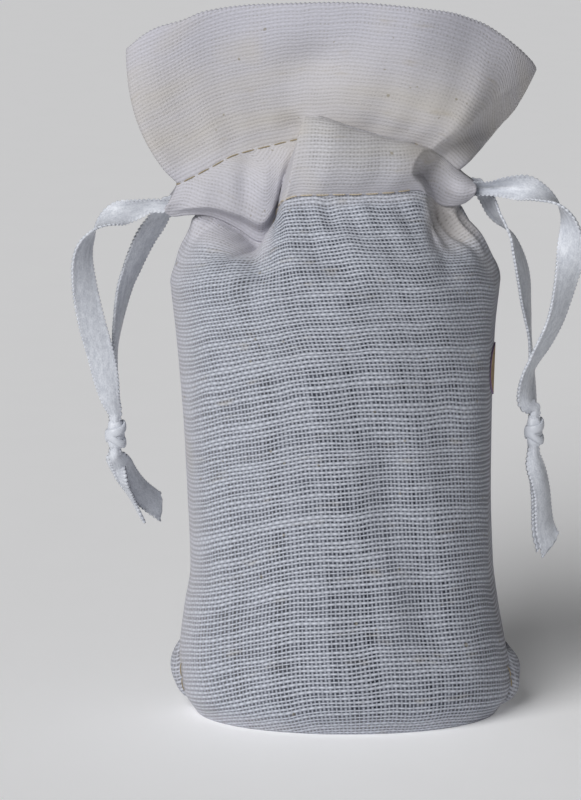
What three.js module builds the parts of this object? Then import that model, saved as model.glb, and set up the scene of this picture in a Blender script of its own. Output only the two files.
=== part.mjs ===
// A lavender sachet: an open-weave linen drawstring pouch with a boxed bottom, filled with dried
// lavender, drawn shut by two satin ribbons that leave the casing at opposite sides.
// Millimetres, +X to the right seen from the front, +Y to the back, +Z up, origin on the floor
// under the middle of the base.

import * as THREE from 'three';

// Materials by thickness, and the clearance between pieces that touch
const clothThickness = 0.8;
const ribbonThickness = 0.4;
const ribbonWidth = 6;
const seatGap = 0.3;
const channelGap = 0.55;

// Filled body, as courses of the cloth: height, middle, half width, half depth
const bodyCourses = [
  [0, 0.9, 34.0, 21.5],
  [5, 0.9, 37.0, 24.6],
  [14, 0.4, 37.8, 25.6],
  [34, -0.1, 34.6, 25.4],
  [62, -1.2, 34.3, 26.0],
  [86, -1.9, 34.9, 26.5],
  [98, -2.0, 36.0, 25.6],
];
const bodySquareness = 2.3;
const shoulderRise = 17;
const shoulderDrawIn = { across: 0.09, deep: 0.9, up: 0.72 };
const seamRoundness = 6;

// Drawstring casing: its side tips, where the ribbons leave, how far they open, and how far inside them
// the body's shoulder and the frill's foot are sewn shut
const casingLeft = -39.6;
const casingRight = 29.3;
const leftTip = { low: 114.3, opening: 4.1 };
const rightTip = { low: 117.6, opening: 4.8 };
const leftTipHigh = leftTip.low + leftTip.opening;
const rightTipHigh = rightTip.low + rightTip.opening;
const leftShoulderInset = 6.1;
const rightShoulderInset = 5.3;
const leftFootInset = 2.6;
const rightFootInset = 2.8;
const shoulderLeft = casingLeft + leftShoulderInset;
const shoulderRight = casingRight - rightShoulderInset;
const frillFootLeft = casingLeft + leftFootInset;
const frillFootRight = casingRight - rightFootInset;

// Lower and upper stitch lines of the casing, front and back: across, height
const leftTipLower = [[casingLeft, leftTip.low], [casingLeft + 4.9, leftTip.low - 0.5]];
const leftTipUpper = [[casingLeft, leftTipHigh], [frillFootLeft, leftTipHigh + 1.8]];
const rightTipUpper = [[frillFootRight, rightTipHigh + 2.4], [casingRight, rightTipHigh]];
const frontLowerStitch = [
  ...leftTipLower, [-27, 114.6], [-20.5, 111.4], [-16, 113], [-11, 119], [0, 120.5], [12, 120],
  [17.5, 119.4], [22, 116.4], [casingRight, rightTip.low],
];
const frontUpperStitch = [
  ...leftTipUpper, [-27, 126.4], [-13, 131.5], [0, 133.5], [17, 130], [23, 126.6], ...rightTipUpper,
];
const backLowerStitch = [
  ...leftTipLower, [-24, 115], [-4, 118], [14, 117.6], [22, 116.4], [casingRight, rightTip.low],
];
const backUpperStitch = [...leftTipUpper, [-24, 127], [-4, 131], [16, 130], ...rightTipUpper];

// Pleat of the casing that stands forward in front, and the softer one behind. The depths are at the
// lower stitch, the belly, the crest and the upper stitch
const frontPleat = { from: -16.5, to: 19.5, edge: 5.5, crest: 4.5, depths: [11.5, 13.2, 10.6, 5.2] };
const backPleat = { from: -16, to: 13, edge: 14, crest: 0, depths: [9.5, 9.5, 7.5, 4.5] };
const bellyLevel = 0.36;
const crestLevel = 0.72;

// Frill above the casing: its rim, as across and height, and its flare as it leaves the casing and as it
// reaches the rim
const rimLeft = -48;
const rimRight = 42.2;
const rimCourse = [
  [rimLeft, 149], [rimLeft + 6, 153.4], [-35, 155.7], [-18, 159.2], [4, 159.4], [21.7, 157.8],
  [rimRight - 8.7, 153.5], [rimRight, 144.5],
];
const rimHalfDepth = 6.5;
const rimBackDrop = 1.5;
const rimSquareness = 3;
const flare = 24;
const rimFlareRight = 13;
const flareRise = 30;
const rimRise = 26;

// Ribbon ends: how far a ribbon can be drawn out, how far it shows at rest, and its folded widths
const pullTravel = 6;
const leadShown = 1.2;
const leadHeld = 1.2;
const leadFoldedWidth = 3;
const pivotWidth = 2.4;
const leftExitRise = 2.1;
const rightExitRise = 3.1;
const leftExitHeight = leftTip.low + leftExitRise;
const rightExitHeight = rightTip.low + rightExitRise;
const leftLiningInset = 10.1;
const rightLiningInset = 6.5;
const leftLiningEnd = casingLeft + leftLiningInset;
const rightLiningEnd = casingRight - rightLiningInset;
const tieSpacing = 0.9;
const tieWidth = 2.4;
const tieStraight = 1.2;
const tailCut = 3;

// Width of a ribbon as it fans out of the casing, gathers into its knot and spreads again below it,
// each as distance from there and width
const fanOut = [[3.4, 3.2], [8, ribbonWidth], [14, ribbonWidth]];
const gatherIn = [[12, ribbonWidth], [3, 3.4], [0, tieWidth]];
const tailSpread = [[0, tieWidth], [4, 4.6], [8, 5.6]];

// Bands of the casing's height that the two ribbons take: in the middle, and beside the right-hand tip
const lowBand = { from: 0.06, to: 0.37 };
const lowBandAtRight = { from: 0.06, to: 0.22 };
const highBand = { from: 0.43, to: 0.7 };
const highBandAtRight = { from: 0.28, to: 0.53 };
const bandShiftInset = 9.3;
const bandShiftLength = 12;
const bandShiftTo = casingRight - bandShiftInset;
const bandShiftFrom = bandShiftTo - bandShiftLength;

// Free ribbon routes from the casing to the knots, and the tails below them: across, depth, height
const leftFrontRoute = [
  [-45, -2.4, 115.6], [-49.6, -3.6, 113.6], [-52.9, -4.6, 111.4], [-55.3, -5.2, 108.4],
  [-57, -5.4, 104.3], [-57.6, -5.4, 99.8], [-57, -5.2, 94], [-55.9, -4.8, 88.4], [-54.2, -4, 81.6],
  [-52.9, -3, 76.4], [-51.6, -1.8, 71],
];
const leftBackRoute = [
  [-43, 3.2, 112.6], [-44.4, 4.2, 108.4], [-45.9, 4.8, 104.6], [-47.4, 5, 100.4], [-48.6, 4.8, 96.4],
  [-49.4, 4.4, 91.8], [-49.9, 4, 88], [-50.3, 3.4, 82.7], [-50.6, 2.6, 77], [-50.7, 1.6, 71.4],
];
const rightFrontRoute = [
  [35, -2.4, 120.4], [38.4, -3.4, 119.8], [42.7, -4.4, 118], [46.8, -5.2, 115.4], [49.4, -5.6, 111],
  [50.2, -5.6, 105.5], [49.8, -5.4, 99.8], [48.5, -5, 93.4], [46.8, -4.6, 88.2], [44.5, -4, 83.6],
  [42.6, -3.2, 79.6], [41.3, -2.4, 75], [41.8, -1.6, 71.6],
];
const rightBackRoute = [
  [33.6, 3.2, 117], [35.6, 4.2, 112], [37, 4.8, 107.4], [38.2, 5, 102.7], [39.5, 4.8, 97.5],
  [40.6, 4.4, 91.8], [41.3, 3.8, 87], [41.8, 3.2, 82.6], [42.2, 2.4, 77.4], [42.5, 1.6, 72],
];
const leftKnot = { across: -50.7, height: 63.2, halfWidth: 2.4, halfDepth: 2.2, halfHeight: 3.3 };
const rightKnot = { across: 42.6, height: 63.9, halfWidth: 2.2, halfDepth: 2.2, halfHeight: 3.6 };
const leftFrontTail = [[-48.6, -1.6, 56.4], [-46, -1.8, 52.8], [-41.8, -1.8, 47.8]];
const leftBackTail = [[-51.2, 1.4, 56], [-48.8, 1.8, 51.4], [-45.8, 2, 45.4]];
const rightFrontTail = [
  [42.9, -1.4, 55.6], [44.2, -1.8, 51], [44.9, -1.8, 46.4], [45.6, -1.8, 41.8], [46.4, -1.8, 37.2],
];
const rightBackTail = [
  [42.4, 1.2, 55.6], [43, 1.8, 51], [43.8, 2, 46.4], [44.6, 2, 42], [45.4, 2, 38.4],
];

// Knots: how slim a barrel is at its ends, how deep its wrap lies in it and how far the wrap winds
const knotEndShare = 0.62;
const wrapDepth = 0.14;
const wrapWinding = 2.6;

// Boxed corners, stitched into small ears outside, and the plain round label over the right-hand seam
const earReach = 2.4;
const earHalfWidth = 3.6;
const earFoot = 2.5;
const earTop = 15.5;
const earFullness = 0.6;
const labelRadius = 6.5;
const labelThickness = 0.4;
const labelHeight = 78;
const labelPastSeam = 6.2;

// Lavender filling: how far up the shoulder it reaches and the rise of its heap
const fillTopLevel = 1.45;
const fillHeap = 3;

// Layers through the casing, counted inwards from the outside of the cloth
const ribbonOuterInset = clothThickness + channelGap;
const ribbonInnerInset = ribbonOuterInset + ribbonThickness;
const liningOuterInset = ribbonInnerInset + channelGap;
const liningInnerInset = liningOuterInset + clothThickness;
const tabHalfThickness = liningInnerInset + 2 * seatGap;
const ribbonMidInset = (ribbonOuterInset + ribbonInnerInset) / 2;
const leadDepth = tabHalfThickness - ribbonMidInset;

const FRONT = -1;
const BACK = 1;

// Materials
function finish(color, roughness) {
  return new THREE.MeshStandardMaterial({ color, roughness, metalness: 0, side: THREE.FrontSide });
}
const linen = () => finish(0xb9bac2, 0.95);
const frillLinen = () => finish(0xc6c3c6, 0.95);
const satin = () => finish(0xe4e8f0, 0.35);
const lavender = () => finish(0x544f68, 0.9);
const kraft = () => finish(0xb58f5c, 0.85);

const sachet = new THREE.Group();

function addPiece(name, geometry, material) {
  geometry.computeVertexNormals();
  const mesh = new THREE.Mesh(geometry, material);
  mesh.name = name;
  sachet.add(mesh);
}

// Turns a list of points and triangles into a closed geometry that faces out
function closedGeometry(points, triangles) {
  let sixVolumes = 0;
  for (const [a, b, c] of triangles) {
    sixVolumes += points[a].dot(new THREE.Vector3().crossVectors(points[b], points[c]));
  }
  const facing = sixVolumes > 0 ? triangles : triangles.map(([a, b, c]) => [a, c, b]);
  const geometry = new THREE.BufferGeometry().setFromPoints(points);
  geometry.setIndex(facing.flat());
  return geometry;
}

// A layer of cloth or ribbon: two grids of points, outer and inner, closed round their four edges
function layerGeometry(outer, inner) {
  const rows = outer.length;
  const columns = outer[0].length;
  const points = [...outer.flat(), ...inner.flat()];
  const triangles = [];
  const out = (row, column) => row * columns + column;
  const inn = (row, column) => rows * columns + out(row, column);
  const quad = (a, b, c, d) => triangles.push([a, b, c], [a, c, d]);
  for (let row = 0; row + 1 < rows; row += 1) {
    for (let column = 0; column + 1 < columns; column += 1) {
      quad(out(row, column), out(row, column + 1), out(row + 1, column + 1), out(row + 1, column));
      quad(inn(row, column), inn(row + 1, column), inn(row + 1, column + 1), inn(row, column + 1));
    }
  }
  for (let column = 0; column + 1 < columns; column += 1) {
    quad(inn(0, column), inn(0, column + 1), out(0, column + 1), out(0, column));
    quad(out(rows - 1, column), out(rows - 1, column + 1), inn(rows - 1, column + 1), inn(rows - 1, column));
  }
  for (let row = 0; row + 1 < rows; row += 1) {
    quad(out(row, 0), out(row + 1, 0), inn(row + 1, 0), inn(row, 0));
    quad(inn(row, columns - 1), inn(row + 1, columns - 1), out(row + 1, columns - 1), out(row, columns - 1));
  }
  return closedGeometry(points, triangles);
}

// A closed skin through rings of points, drawn together to a single point at each end
function ringGeometry(firstPoint, rings, lastPoint) {
  const count = rings[0].length;
  const points = [firstPoint, ...rings.flat(), lastPoint];
  const last = points.length - 1;
  const at = (ring, index) => 1 + ring * count + (index % count);
  const triangles = [];
  for (let index = 0; index < count; index += 1) {
    triangles.push([0, at(0, index + 1), at(0, index)]);
    for (let ring = 0; ring + 1 < rings.length; ring += 1) {
      triangles.push([at(ring, index), at(ring, index + 1), at(ring + 1, index + 1)]);
      triangles.push([at(ring, index), at(ring + 1, index + 1), at(ring + 1, index)]);
    }
    triangles.push([last, at(rings.length - 1, index), at(rings.length - 1, index + 1)]);
  }
  return closedGeometry(points, triangles);
}

// Smooth curve through [position, value] pairs, read by position
function courseThrough(pairs) {
  return (position) => {
    const count = pairs.length;
    let index = 0;
    while (index + 2 < count && position > pairs[index + 1][0]) {
      index += 1;
    }
    const slope = (k) => {
      const low = pairs[Math.max(k - 1, 0)];
      const high = pairs[Math.min(k + 1, count - 1)];
      return (high[1] - low[1]) / (high[0] - low[0]);
    };
    const [x0, y0] = pairs[index];
    const [x1, y1] = pairs[index + 1];
    const share = THREE.MathUtils.clamp((position - x0) / (x1 - x0), 0, 1);
    return hermite(y0, slope(index) * (x1 - x0), y1, slope(index + 1) * (x1 - x0), share);
  };
}

function hermite(start, startSlope, end, endSlope, share) {
  const square = share * share;
  const cube = square * share;
  return (2 * cube - 3 * square + 1) * start + (cube - 2 * square + share) * startSlope
    + (3 * square - 2 * cube) * end + (cube - square) * endSlope;
}

function hermitePoint(start, startSlope, end, endSlope, share) {
  return new THREE.Vector3(
    hermite(start.x, startSlope.x, end.x, endSlope.x, share),
    hermite(start.y, startSlope.y, end.y, endSlope.y, share),
    hermite(start.z, startSlope.z, end.z, endSlope.z, share),
  );
}

// Reads a row of points by its share of the row's length, so threads run straight up the cloth
function byLength(points) {
  const lengths = [0];
  for (let index = 1; index < points.length; index += 1) {
    lengths.push(lengths[index - 1] + points[index].distanceTo(points[index - 1]));
  }
  const total = lengths[lengths.length - 1];
  return (share) => {
    const wanted = THREE.MathUtils.clamp(share, 0, 1) * total;
    let index = 1;
    while (index + 1 < lengths.length && lengths[index] < wanted) {
      index += 1;
    }
    const part = (wanted - lengths[index - 1]) / (lengths[index] - lengths[index - 1]);
    return points[index - 1].clone().lerp(points[index], part);
  };
}

const rowSamples = 240;
const rowMemory = new Map();

// Keeps each row once it is worked out: every piece of cloth reads the same rows many times
function rowOf(key, pointAt) {
  if (!rowMemory.has(key)) {
    const points = [];
    for (let index = 0; index <= rowSamples; index += 1) {
      points.push(pointAt(index / rowSamples));
    }
    rowMemory.set(key, byLength(points));
  }
  return rowMemory.get(key);
}

// Body
const bodyTop = bodyCourses[bodyCourses.length - 1][0];
const bodyMiddle = courseThrough(bodyCourses.map((course) => [course[0], course[1]]));
const bodyHalfWidth = courseThrough(bodyCourses.map((course) => [course[0], course[2]]));
const bodyHalfDepth = courseThrough(bodyCourses.map((course) => [course[0], course[3]]));

function bodyRow(side, height) {
  return rowOf(`body ${side} ${height}`, (share) => {
    const angle = Math.PI * (1 - share);
    const across = Math.sign(Math.cos(angle)) * Math.abs(Math.cos(angle)) ** (2 / bodySquareness);
    const deep = Math.max(Math.sin(angle), 0) ** (2 / bodySquareness);
    return new THREE.Vector3(
      bodyMiddle(height) + bodyHalfWidth(height) * across,
      side * bodyHalfDepth(height) * deep,
      height,
    );
  });
}

// Rounds the two ends of a flattened row shut where front and back are sewn together
function seamRounding(position, left, right) {
  const share = Math.abs((2 * position - left - right) / (right - left));
  return Math.max(1 - share ** seamRoundness, 0) ** (1 / seamRoundness);
}

// Casing
function pleatWindow(pleat, across) {
  const half = pleat.edge / 2;
  const rise = THREE.MathUtils.smoothstep(across, pleat.from - half, pleat.from + half);
  const fall = THREE.MathUtils.smoothstep(across, pleat.to - half, pleat.to + half);
  return rise * (1 - fall);
}

const pleatLevels = [0, bellyLevel, crestLevel, 1];

function casingSide(side) {
  const front = side === FRONT;
  const pleat = front ? frontPleat : backPleat;
  return {
    pleat,
    lower: courseThrough(front ? frontLowerStitch : backLowerStitch),
    upper: courseThrough(front ? frontUpperStitch : backUpperStitch),
    depth: courseThrough(pleatLevels.map((level, index) => [level, pleat.depths[index]])),
  };
}
const casingSides = { [FRONT]: casingSide(FRONT), [BACK]: casingSide(BACK) };

function casingAt(side, across, level) {
  const { pleat, lower, upper, depth } = casingSides[side];
  const swell = pleatWindow(pleat, across);
  const crest = pleat.crest * Math.sin(Math.PI * Math.min(level / crestLevel / 2, 1)) ** 2;
  const fallBack = level > crestLevel ? ((level - crestLevel) / (1 - crestLevel)) ** 2 : 0;
  const height = lower(across) + (upper(across) - lower(across)) * level;
  return new THREE.Vector3(
    across,
    side * (tabHalfThickness + depth(level) * swell),
    height + swell * crest * (1 - fallBack),
  );
}

function casingPoint(side, share, level) {
  const row = rowOf(`casing ${side} ${level}`, (part) => {
    return casingAt(side, THREE.MathUtils.lerp(casingLeft, casingRight, part), level);
  });
  return row(share);
}

// Body from the floor to the lower stitch line: level 0 to 1 is the filled wall, 1 to 2 the shoulder
function neckRow(side) {
  return rowOf(`neck ${side}`, (part) => {
    const across = THREE.MathUtils.lerp(shoulderLeft, shoulderRight, part);
    const point = casingAt(side, across, 0);
    point.y *= seamRounding(across, shoulderLeft, shoulderRight);
    return point;
  });
}

function bodyPoint(side, share, level) {
  if (level <= 1) {
    return bodyRow(side, level * bodyTop)(share);
  }
  const start = bodyRow(side, bodyTop)(share);
  const end = neckRow(side)(share);
  const drawn = end.clone().sub(start);
  const startSlope = new THREE.Vector3(0, 0, shoulderRise);
  const { across, deep, up } = shoulderDrawIn;
  const endSlope = new THREE.Vector3(drawn.x * across, drawn.y * deep, drawn.z * up);
  return hermitePoint(start, startSlope, end, endSlope, level - 1);
}

// Frill from the upper stitch line to the rim
const rimHeight = courseThrough(rimCourse);

function frillFoot(side) {
  return rowOf(`frill foot ${side}`, (part) => {
    const across = THREE.MathUtils.lerp(frillFootLeft, frillFootRight, part);
    const point = casingAt(side, across, 1);
    point.y *= seamRounding(across, frillFootLeft, frillFootRight);
    return point;
  });
}

function frillRim(side) {
  return rowOf(`rim ${side}`, (part) => {
    const angle = Math.PI * (1 - part);
    const reach = Math.sign(Math.cos(angle)) * Math.abs(Math.cos(angle)) ** (2 / rimSquareness);
    const across = (rimLeft + rimRight) / 2 + (rimRight - rimLeft) / 2 * reach;
    const deep = Math.max(Math.sin(angle), 0) ** (2 / rimSquareness);
    const drop = side === BACK ? rimBackDrop * deep : 0;
    return new THREE.Vector3(across, side * rimHalfDepth * deep, rimHeight(across) - drop);
  });
}

function frillPoint(side, share, level) {
  const sideways = 2 * share - 1;
  const startSlope = new THREE.Vector3(flare * sideways, 0, flareRise);
  const endSlope = new THREE.Vector3(rimFlareRight * Math.max(sideways, 0), 0, rimRise);
  return hermitePoint(frillFoot(side)(share), startSlope, frillRim(side)(share), endSlope, level);
}

// Moves a point of a cloth surface inwards, square to the cloth, and keeps it on its own side of the seam
const shareStep = 0.004;
const levelStep = 0.01;

function insetPoint(surface, side, share, level, levelEnd, depth) {
  const before = surface(side, Math.max(share - shareStep, 0), level);
  const after = surface(side, Math.min(share + shareStep, 1), level);
  const below = surface(side, share, Math.max(level - levelStep, 0));
  const above = surface(side, share, Math.min(level + levelStep, levelEnd));
  const outward = after.sub(before).cross(above.sub(below)).normalize().multiplyScalar(-side);
  const point = surface(side, share, level).sub(outward.multiplyScalar(depth));
  point.y = side * Math.max(side * point.y, seatGap / 2);
  return point;
}

function steps(from, to, count) {
  return Array.from({ length: count + 1 }, (unused, index) => from + ((to - from) * index) / count);
}

function clothGrid(surface, side, shares, levels, levelEnd, depth) {
  return levels.map((level) => {
    return shares.map((share) => insetPoint(surface, side, share, level, levelEnd, depth));
  });
}

// Shares of a row that stop half a seat gap short of each side seam
function seamShares(row, count) {
  let length = 0;
  const fine = steps(0, 1, rowSamples);
  for (let index = 1; index < fine.length; index += 1) {
    length += row(fine[index]).distanceTo(row(fine[index - 1]));
  }
  const trim = seatGap / 2 / length;
  return steps(trim, 1 - trim, count);
}

// The body's rows of points: its courses, then the shoulder up to just below the stitch line
const neckLevel = 2;
const seamTrim = 0.02;
const shoulderLevels = [1.22, fillTopLevel, 1.7, 1.88, neckLevel - seamTrim];
const bodyLevels = [...bodyCourses.map((course) => course[0] / bodyTop), ...shoulderLevels];
const bodyColumns = 26;
const bodyShares = seamShares(bodyRow(FRONT, bodyTop), bodyColumns);
for (const [side, word] of [[FRONT, 'front'], [BACK, 'back']]) {
  addPiece(`${word}_body`, layerGeometry(
    clothGrid(bodyPoint, side, bodyShares, bodyLevels, neckLevel, 0),
    clothGrid(bodyPoint, side, bodyShares, bodyLevels, neckLevel, clothThickness),
  ), linen());
}

// Whole rings round the filled body, for what lies inside it
function bodyRing(level, depth, lowest) {
  const half = (side, shares) => shares.map((share) => {
    const point = insetPoint(bodyPoint, side, share, level, neckLevel, depth);
    point.z = Math.max(point.z, lowest);
    return point;
  });
  return [...half(FRONT, bodyShares), ...half(BACK, [...bodyShares].reverse())];
}

function ringCentre(ring) {
  const sum = ring.reduce((total, point) => total.add(point), new THREE.Vector3());
  return sum.divideScalar(ring.length);
}

// Flat bottom that the two boxed corners form
function basePanelGeometry() {
  const inset = clothThickness + seatGap;
  const ringAt = (height) => bodyRing(0, 0, 0).map((point) => {
    const middle = bodyMiddle(0);
    return new THREE.Vector3(
      middle + (point.x - middle) * (1 - inset / bodyHalfWidth(0)),
      point.y * (1 - inset / bodyHalfDepth(0)),
      height,
    );
  });
  const lower = ringAt(0);
  const upper = ringAt(clothThickness);
  return ringGeometry(ringCentre(lower), [lower, upper], ringCentre(upper));
}
addPiece('base_panel', basePanelGeometry(), linen());

// Dried lavender, loose and settled against the cloth, with a low heap on top
const heapShares = [0.25, 0.55];

function fillGeometry() {
  const inset = clothThickness + seatGap;
  const levels = bodyLevels.filter((level) => level <= fillTopLevel);
  const rings = levels.map((level) => bodyRing(level, inset, inset));
  const top = rings[rings.length - 1];
  const middle = ringCentre(top);
  for (const share of heapShares) {
    rings.push(top.map((point) => {
      const drawnIn = point.clone().lerp(middle, share);
      drawnIn.z += fillHeap * Math.sin((Math.PI / 2) * share);
      return drawnIn;
    }));
  }
  const peak = middle.clone();
  peak.z += fillHeap;
  return ringGeometry(ringCentre(rings[0]), rings, peak);
}
addPiece('lavender_fill', fillGeometry(), lavender());

// Boxed corners: each a small doubled flap, stitched flat against the side seam
const earColumns = 8;
const earRows = 6;

function cornerEarGeometry(atRight) {
  const length = Math.PI * (bodyHalfWidth(earTop) + bodyHalfDepth(earTop)) / 2;
  const across = steps(-earHalfWidth, earHalfWidth, earColumns);
  const heights = steps(earFoot, earTop, earRows);
  const swelling = (index, count) => Math.sin((Math.PI * index) / count) ** earFullness;
  const offsetGrid = (reach) => heights.map((height, row) => across.map((offset, column) => {
    const side = offset < 0 ? FRONT : BACK;
    const share = Math.abs(offset) / length;
    const level = height / bodyTop;
    const hump = swelling(row, earRows) * swelling(column, earColumns);
    const stand = -seatGap - (reach ? clothThickness + earReach * hump : 0);
    return insetPoint(bodyPoint, side, atRight ? 1 - share : share, level, neckLevel, stand);
  }));
  return layerGeometry(offsetGrid(true), offsetGrid(false));
}
addPiece('left_corner_ear', cornerEarGeometry(false), linen());
addPiece('right_corner_ear', cornerEarGeometry(true), linen());

// Round paper label, bare, stuck over the right-hand seam and on to the back
const labelPoints = 28;
const labelRings = [0.3, 0.6, 0.85, 1];

function labelGeometry() {
  const length = Math.PI * (bodyHalfWidth(labelHeight) + bodyHalfDepth(labelHeight)) / 2;
  const at = (radius, angle, stand) => {
    const fromSeam = labelRadius - labelPastSeam + radius * Math.cos(angle);
    const side = fromSeam < 0 ? FRONT : BACK;
    const level = (labelHeight + radius * Math.sin(angle)) / bodyTop;
    return insetPoint(bodyPoint, side, 1 - Math.abs(fromSeam) / length, level, neckLevel, -stand);
  };
  const angles = steps(0, 2 * Math.PI, labelPoints).slice(0, -1);
  const ring = (radius, stand) => angles.map((angle) => at(radius, angle, stand));
  const radii = labelRings.map((share) => share * labelRadius);
  const under = radii.map((radius) => ring(radius, seatGap));
  const over = [...radii].reverse().map((radius) => ring(radius, seatGap + labelThickness));
  return ringGeometry(at(0, 0, seatGap), [...under, ...over], at(0, 0, seatGap + labelThickness));
}
addPiece('back_label', labelGeometry(), kraft());

// Casing: outer cloth and lining, front and back, open at both side tips, with closer rows at its crest
const levelTrim = 0.03;
const middleLevel = 0.5;
const crestFoot = 0.56;
const crestRows = 5;
const casingLevels = [levelTrim, 0.2, 0.4, ...steps(crestFoot, 1 - levelTrim, crestRows)];
const casingColumns = 34;
const casingShares = steps(0, 1, casingColumns);
const frillColumns = 30;
const frillRows = 6;

function shareAcross(side, across) {
  let best = 0;
  for (const share of steps(0, 1, 4 * rowSamples)) {
    if (casingPoint(side, share, middleLevel).x <= across) {
      best = share;
    }
  }
  return best;
}

// The casing's own columns between two places across it, so that its layers lie evenly in each other
const leastColumnShare = 0.3;

function casingStretch(side, fromAcross, toAcross) {
  const first = shareAcross(side, fromAcross);
  const last = shareAcross(side, toAcross);
  const least = leastColumnShare / casingColumns;
  const between = casingShares.filter((share) => share > first + least && share < last - least);
  return [first, ...between, last];
}

for (const [side, word] of [[FRONT, 'front'], [BACK, 'back']]) {
  const liningShares = casingStretch(side, leftLiningEnd, rightLiningEnd);
  addPiece(`${word}_casing`, layerGeometry(
    clothGrid(casingPoint, side, casingShares, casingLevels, 1, 0),
    clothGrid(casingPoint, side, casingShares, casingLevels, 1, clothThickness),
  ), frillLinen());
  addPiece(`${word}_casing_lining`, layerGeometry(
    clothGrid(casingPoint, side, liningShares, casingLevels, 1, liningOuterInset),
    clothGrid(casingPoint, side, liningShares, casingLevels, 1, liningInnerInset),
  ), frillLinen());
  const frillShares = seamShares(frillRim(side), frillColumns);
  const frillLevels = steps(levelTrim / 2, 1, frillRows);
  addPiece(`${word}_frill`, layerGeometry(
    clothGrid(frillPoint, side, frillShares, frillLevels, 1, 0),
    clothGrid(frillPoint, side, frillShares, frillLevels, 1, 2 * clothThickness),
  ), frillLinen());
}

// Ribbon inside the casing: along the front channel, round the far side tip and back along the other
function bandAt(middle, atRight, across) {
  const shift = THREE.MathUtils.smoothstep(across, bandShiftFrom, bandShiftTo);
  return [
    THREE.MathUtils.lerp(middle.from, atRight.from, shift),
    THREE.MathUtils.lerp(middle.to, atRight.to, shift),
  ];
}

const ribbonRows = 2;
const turnSteps = 8;

function casedColumn(side, share, middle, atRight) {
  const across = casingPoint(side, share, middleLevel).x;
  const at = (level, inset) => insetPoint(casingPoint, side, share, level, 1, inset);
  const [low, high] = bandAt(middle, atRight, across);
  const levels = steps(low, high, ribbonRows);
  return {
    outer: levels.map((level) => at(level, ribbonOuterInset)),
    inner: levels.map((level) => at(level, ribbonInnerInset)),
  };
}

function turnColumns(lastColumn, outwards) {
  return steps(0, 1, turnSteps).slice(1, -1).map((share) => {
    const angle = Math.PI * share;
    const swing = (point, inset) => new THREE.Vector3(
      point.x + outwards * (tabHalfThickness - inset) * Math.sin(angle),
      -(tabHalfThickness - inset) * Math.cos(angle),
      point.z,
    );
    return {
      outer: lastColumn.outer.map((point) => swing(point, ribbonOuterInset)),
      inner: lastColumn.inner.map((point) => swing(point, ribbonInnerInset)),
    };
  });
}

function casedRibbonGeometry(nearEnd, farEnd, middle, atRight) {
  const outwards = Math.sign(farEnd - nearEnd);
  const run = (side) => {
    const shares = casingStretch(side, Math.min(nearEnd, farEnd), Math.max(nearEnd, farEnd));
    const columns = shares.map((share) => casedColumn(side, share, middle, atRight));
    return outwards > 0 ? columns : columns.reverse();
  };
  const front = run(FRONT);
  const columns = [...front, ...turnColumns(front[front.length - 1], outwards), ...run(BACK).reverse()];
  const grid = (face) => front[0][face].map((unused, row) => columns.map((column) => column[face][row]));
  return layerGeometry(grid('outer'), grid('inner'));
}

// A flat ribbon along a curve: its turn about the curve in degrees by share of the length, its width by
// distance along it, and the slant of its cut end
function stripGeometry(curve, turns, widths, columns, cut) {
  const length = curve.getLength();
  const turnAt = courseThrough(turns);
  const widthAt = courseThrough(widths.map(([place, width]) => [place / length, width]));
  const depthwards = new THREE.Vector3(0, 1, 0);
  const grids = { outer: [[], []], inner: [[], []] };
  for (const share of columns) {
    const point = curve.getPointAt(share);
    const along = curve.getTangentAt(share);
    const flatwise = along.clone().cross(depthwards).normalize();
    const across = flatwise.applyAxisAngle(along, THREE.MathUtils.degToRad(turnAt(share)));
    const square = along.clone().cross(across).normalize().multiplyScalar(ribbonThickness / 2);
    const slant = share === 1 ? cut / 2 : 0;
    for (const [row, sign] of [[0, -1], [1, 1]]) {
      const edge = point.clone().addScaledVector(across, (sign * widthAt(share)) / 2);
      edge.addScaledVector(along, sign * slant);
      grids.outer[row].push(edge.clone().add(square));
      grids.inner[row].push(edge.clone().sub(square));
    }
  }
  return layerGeometry(grids.outer, grids.inner);
}

function ribbonCurve(route) {
  return new THREE.CatmullRomCurve3(route.map((point) => new THREE.Vector3(...point)), false, 'centripetal');
}

// A strand starts in a half round of the pivot's width, fans out and is gathered into the knot
const roundShares = [0.08, 0.3, 0.6, 1];
const strandSteps = 26;
const tailSteps = 9;

function strandGeometry(curve, turns) {
  const length = curve.getLength();
  const radius = pivotWidth / 2;
  const roundPlaces = roundShares.map((share) => share * radius);
  const roundWidths = roundShares.map((share) => pivotWidth * Math.sqrt(1 - (1 - share) ** 2));
  const widths = [
    ...roundPlaces.map((place, index) => [place, roundWidths[index]]),
    ...fanOut,
    ...gatherIn.map(([place, width]) => [length - place, width]),
  ];
  const columns = [
    ...roundPlaces.map((place) => place / length),
    ...steps(radius / length, 1, strandSteps).slice(1),
  ];
  return stripGeometry(curve, turns, widths, columns, 0);
}

function tailGeometry(curve, turns) {
  const widths = [...tailSpread, [curve.getLength(), ribbonWidth]];
  return stripGeometry(curve, turns, widths, steps(0, 1, tailSteps), tailCut);
}

// An overhand knot pulled tight: a short barrel with its wrap lying slantwise round it
const knotPoints = 20;
const knotLevels = [-1, -0.8, -0.5, -0.2, 0.1, 0.4, 0.7, 0.9, 1];

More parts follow.
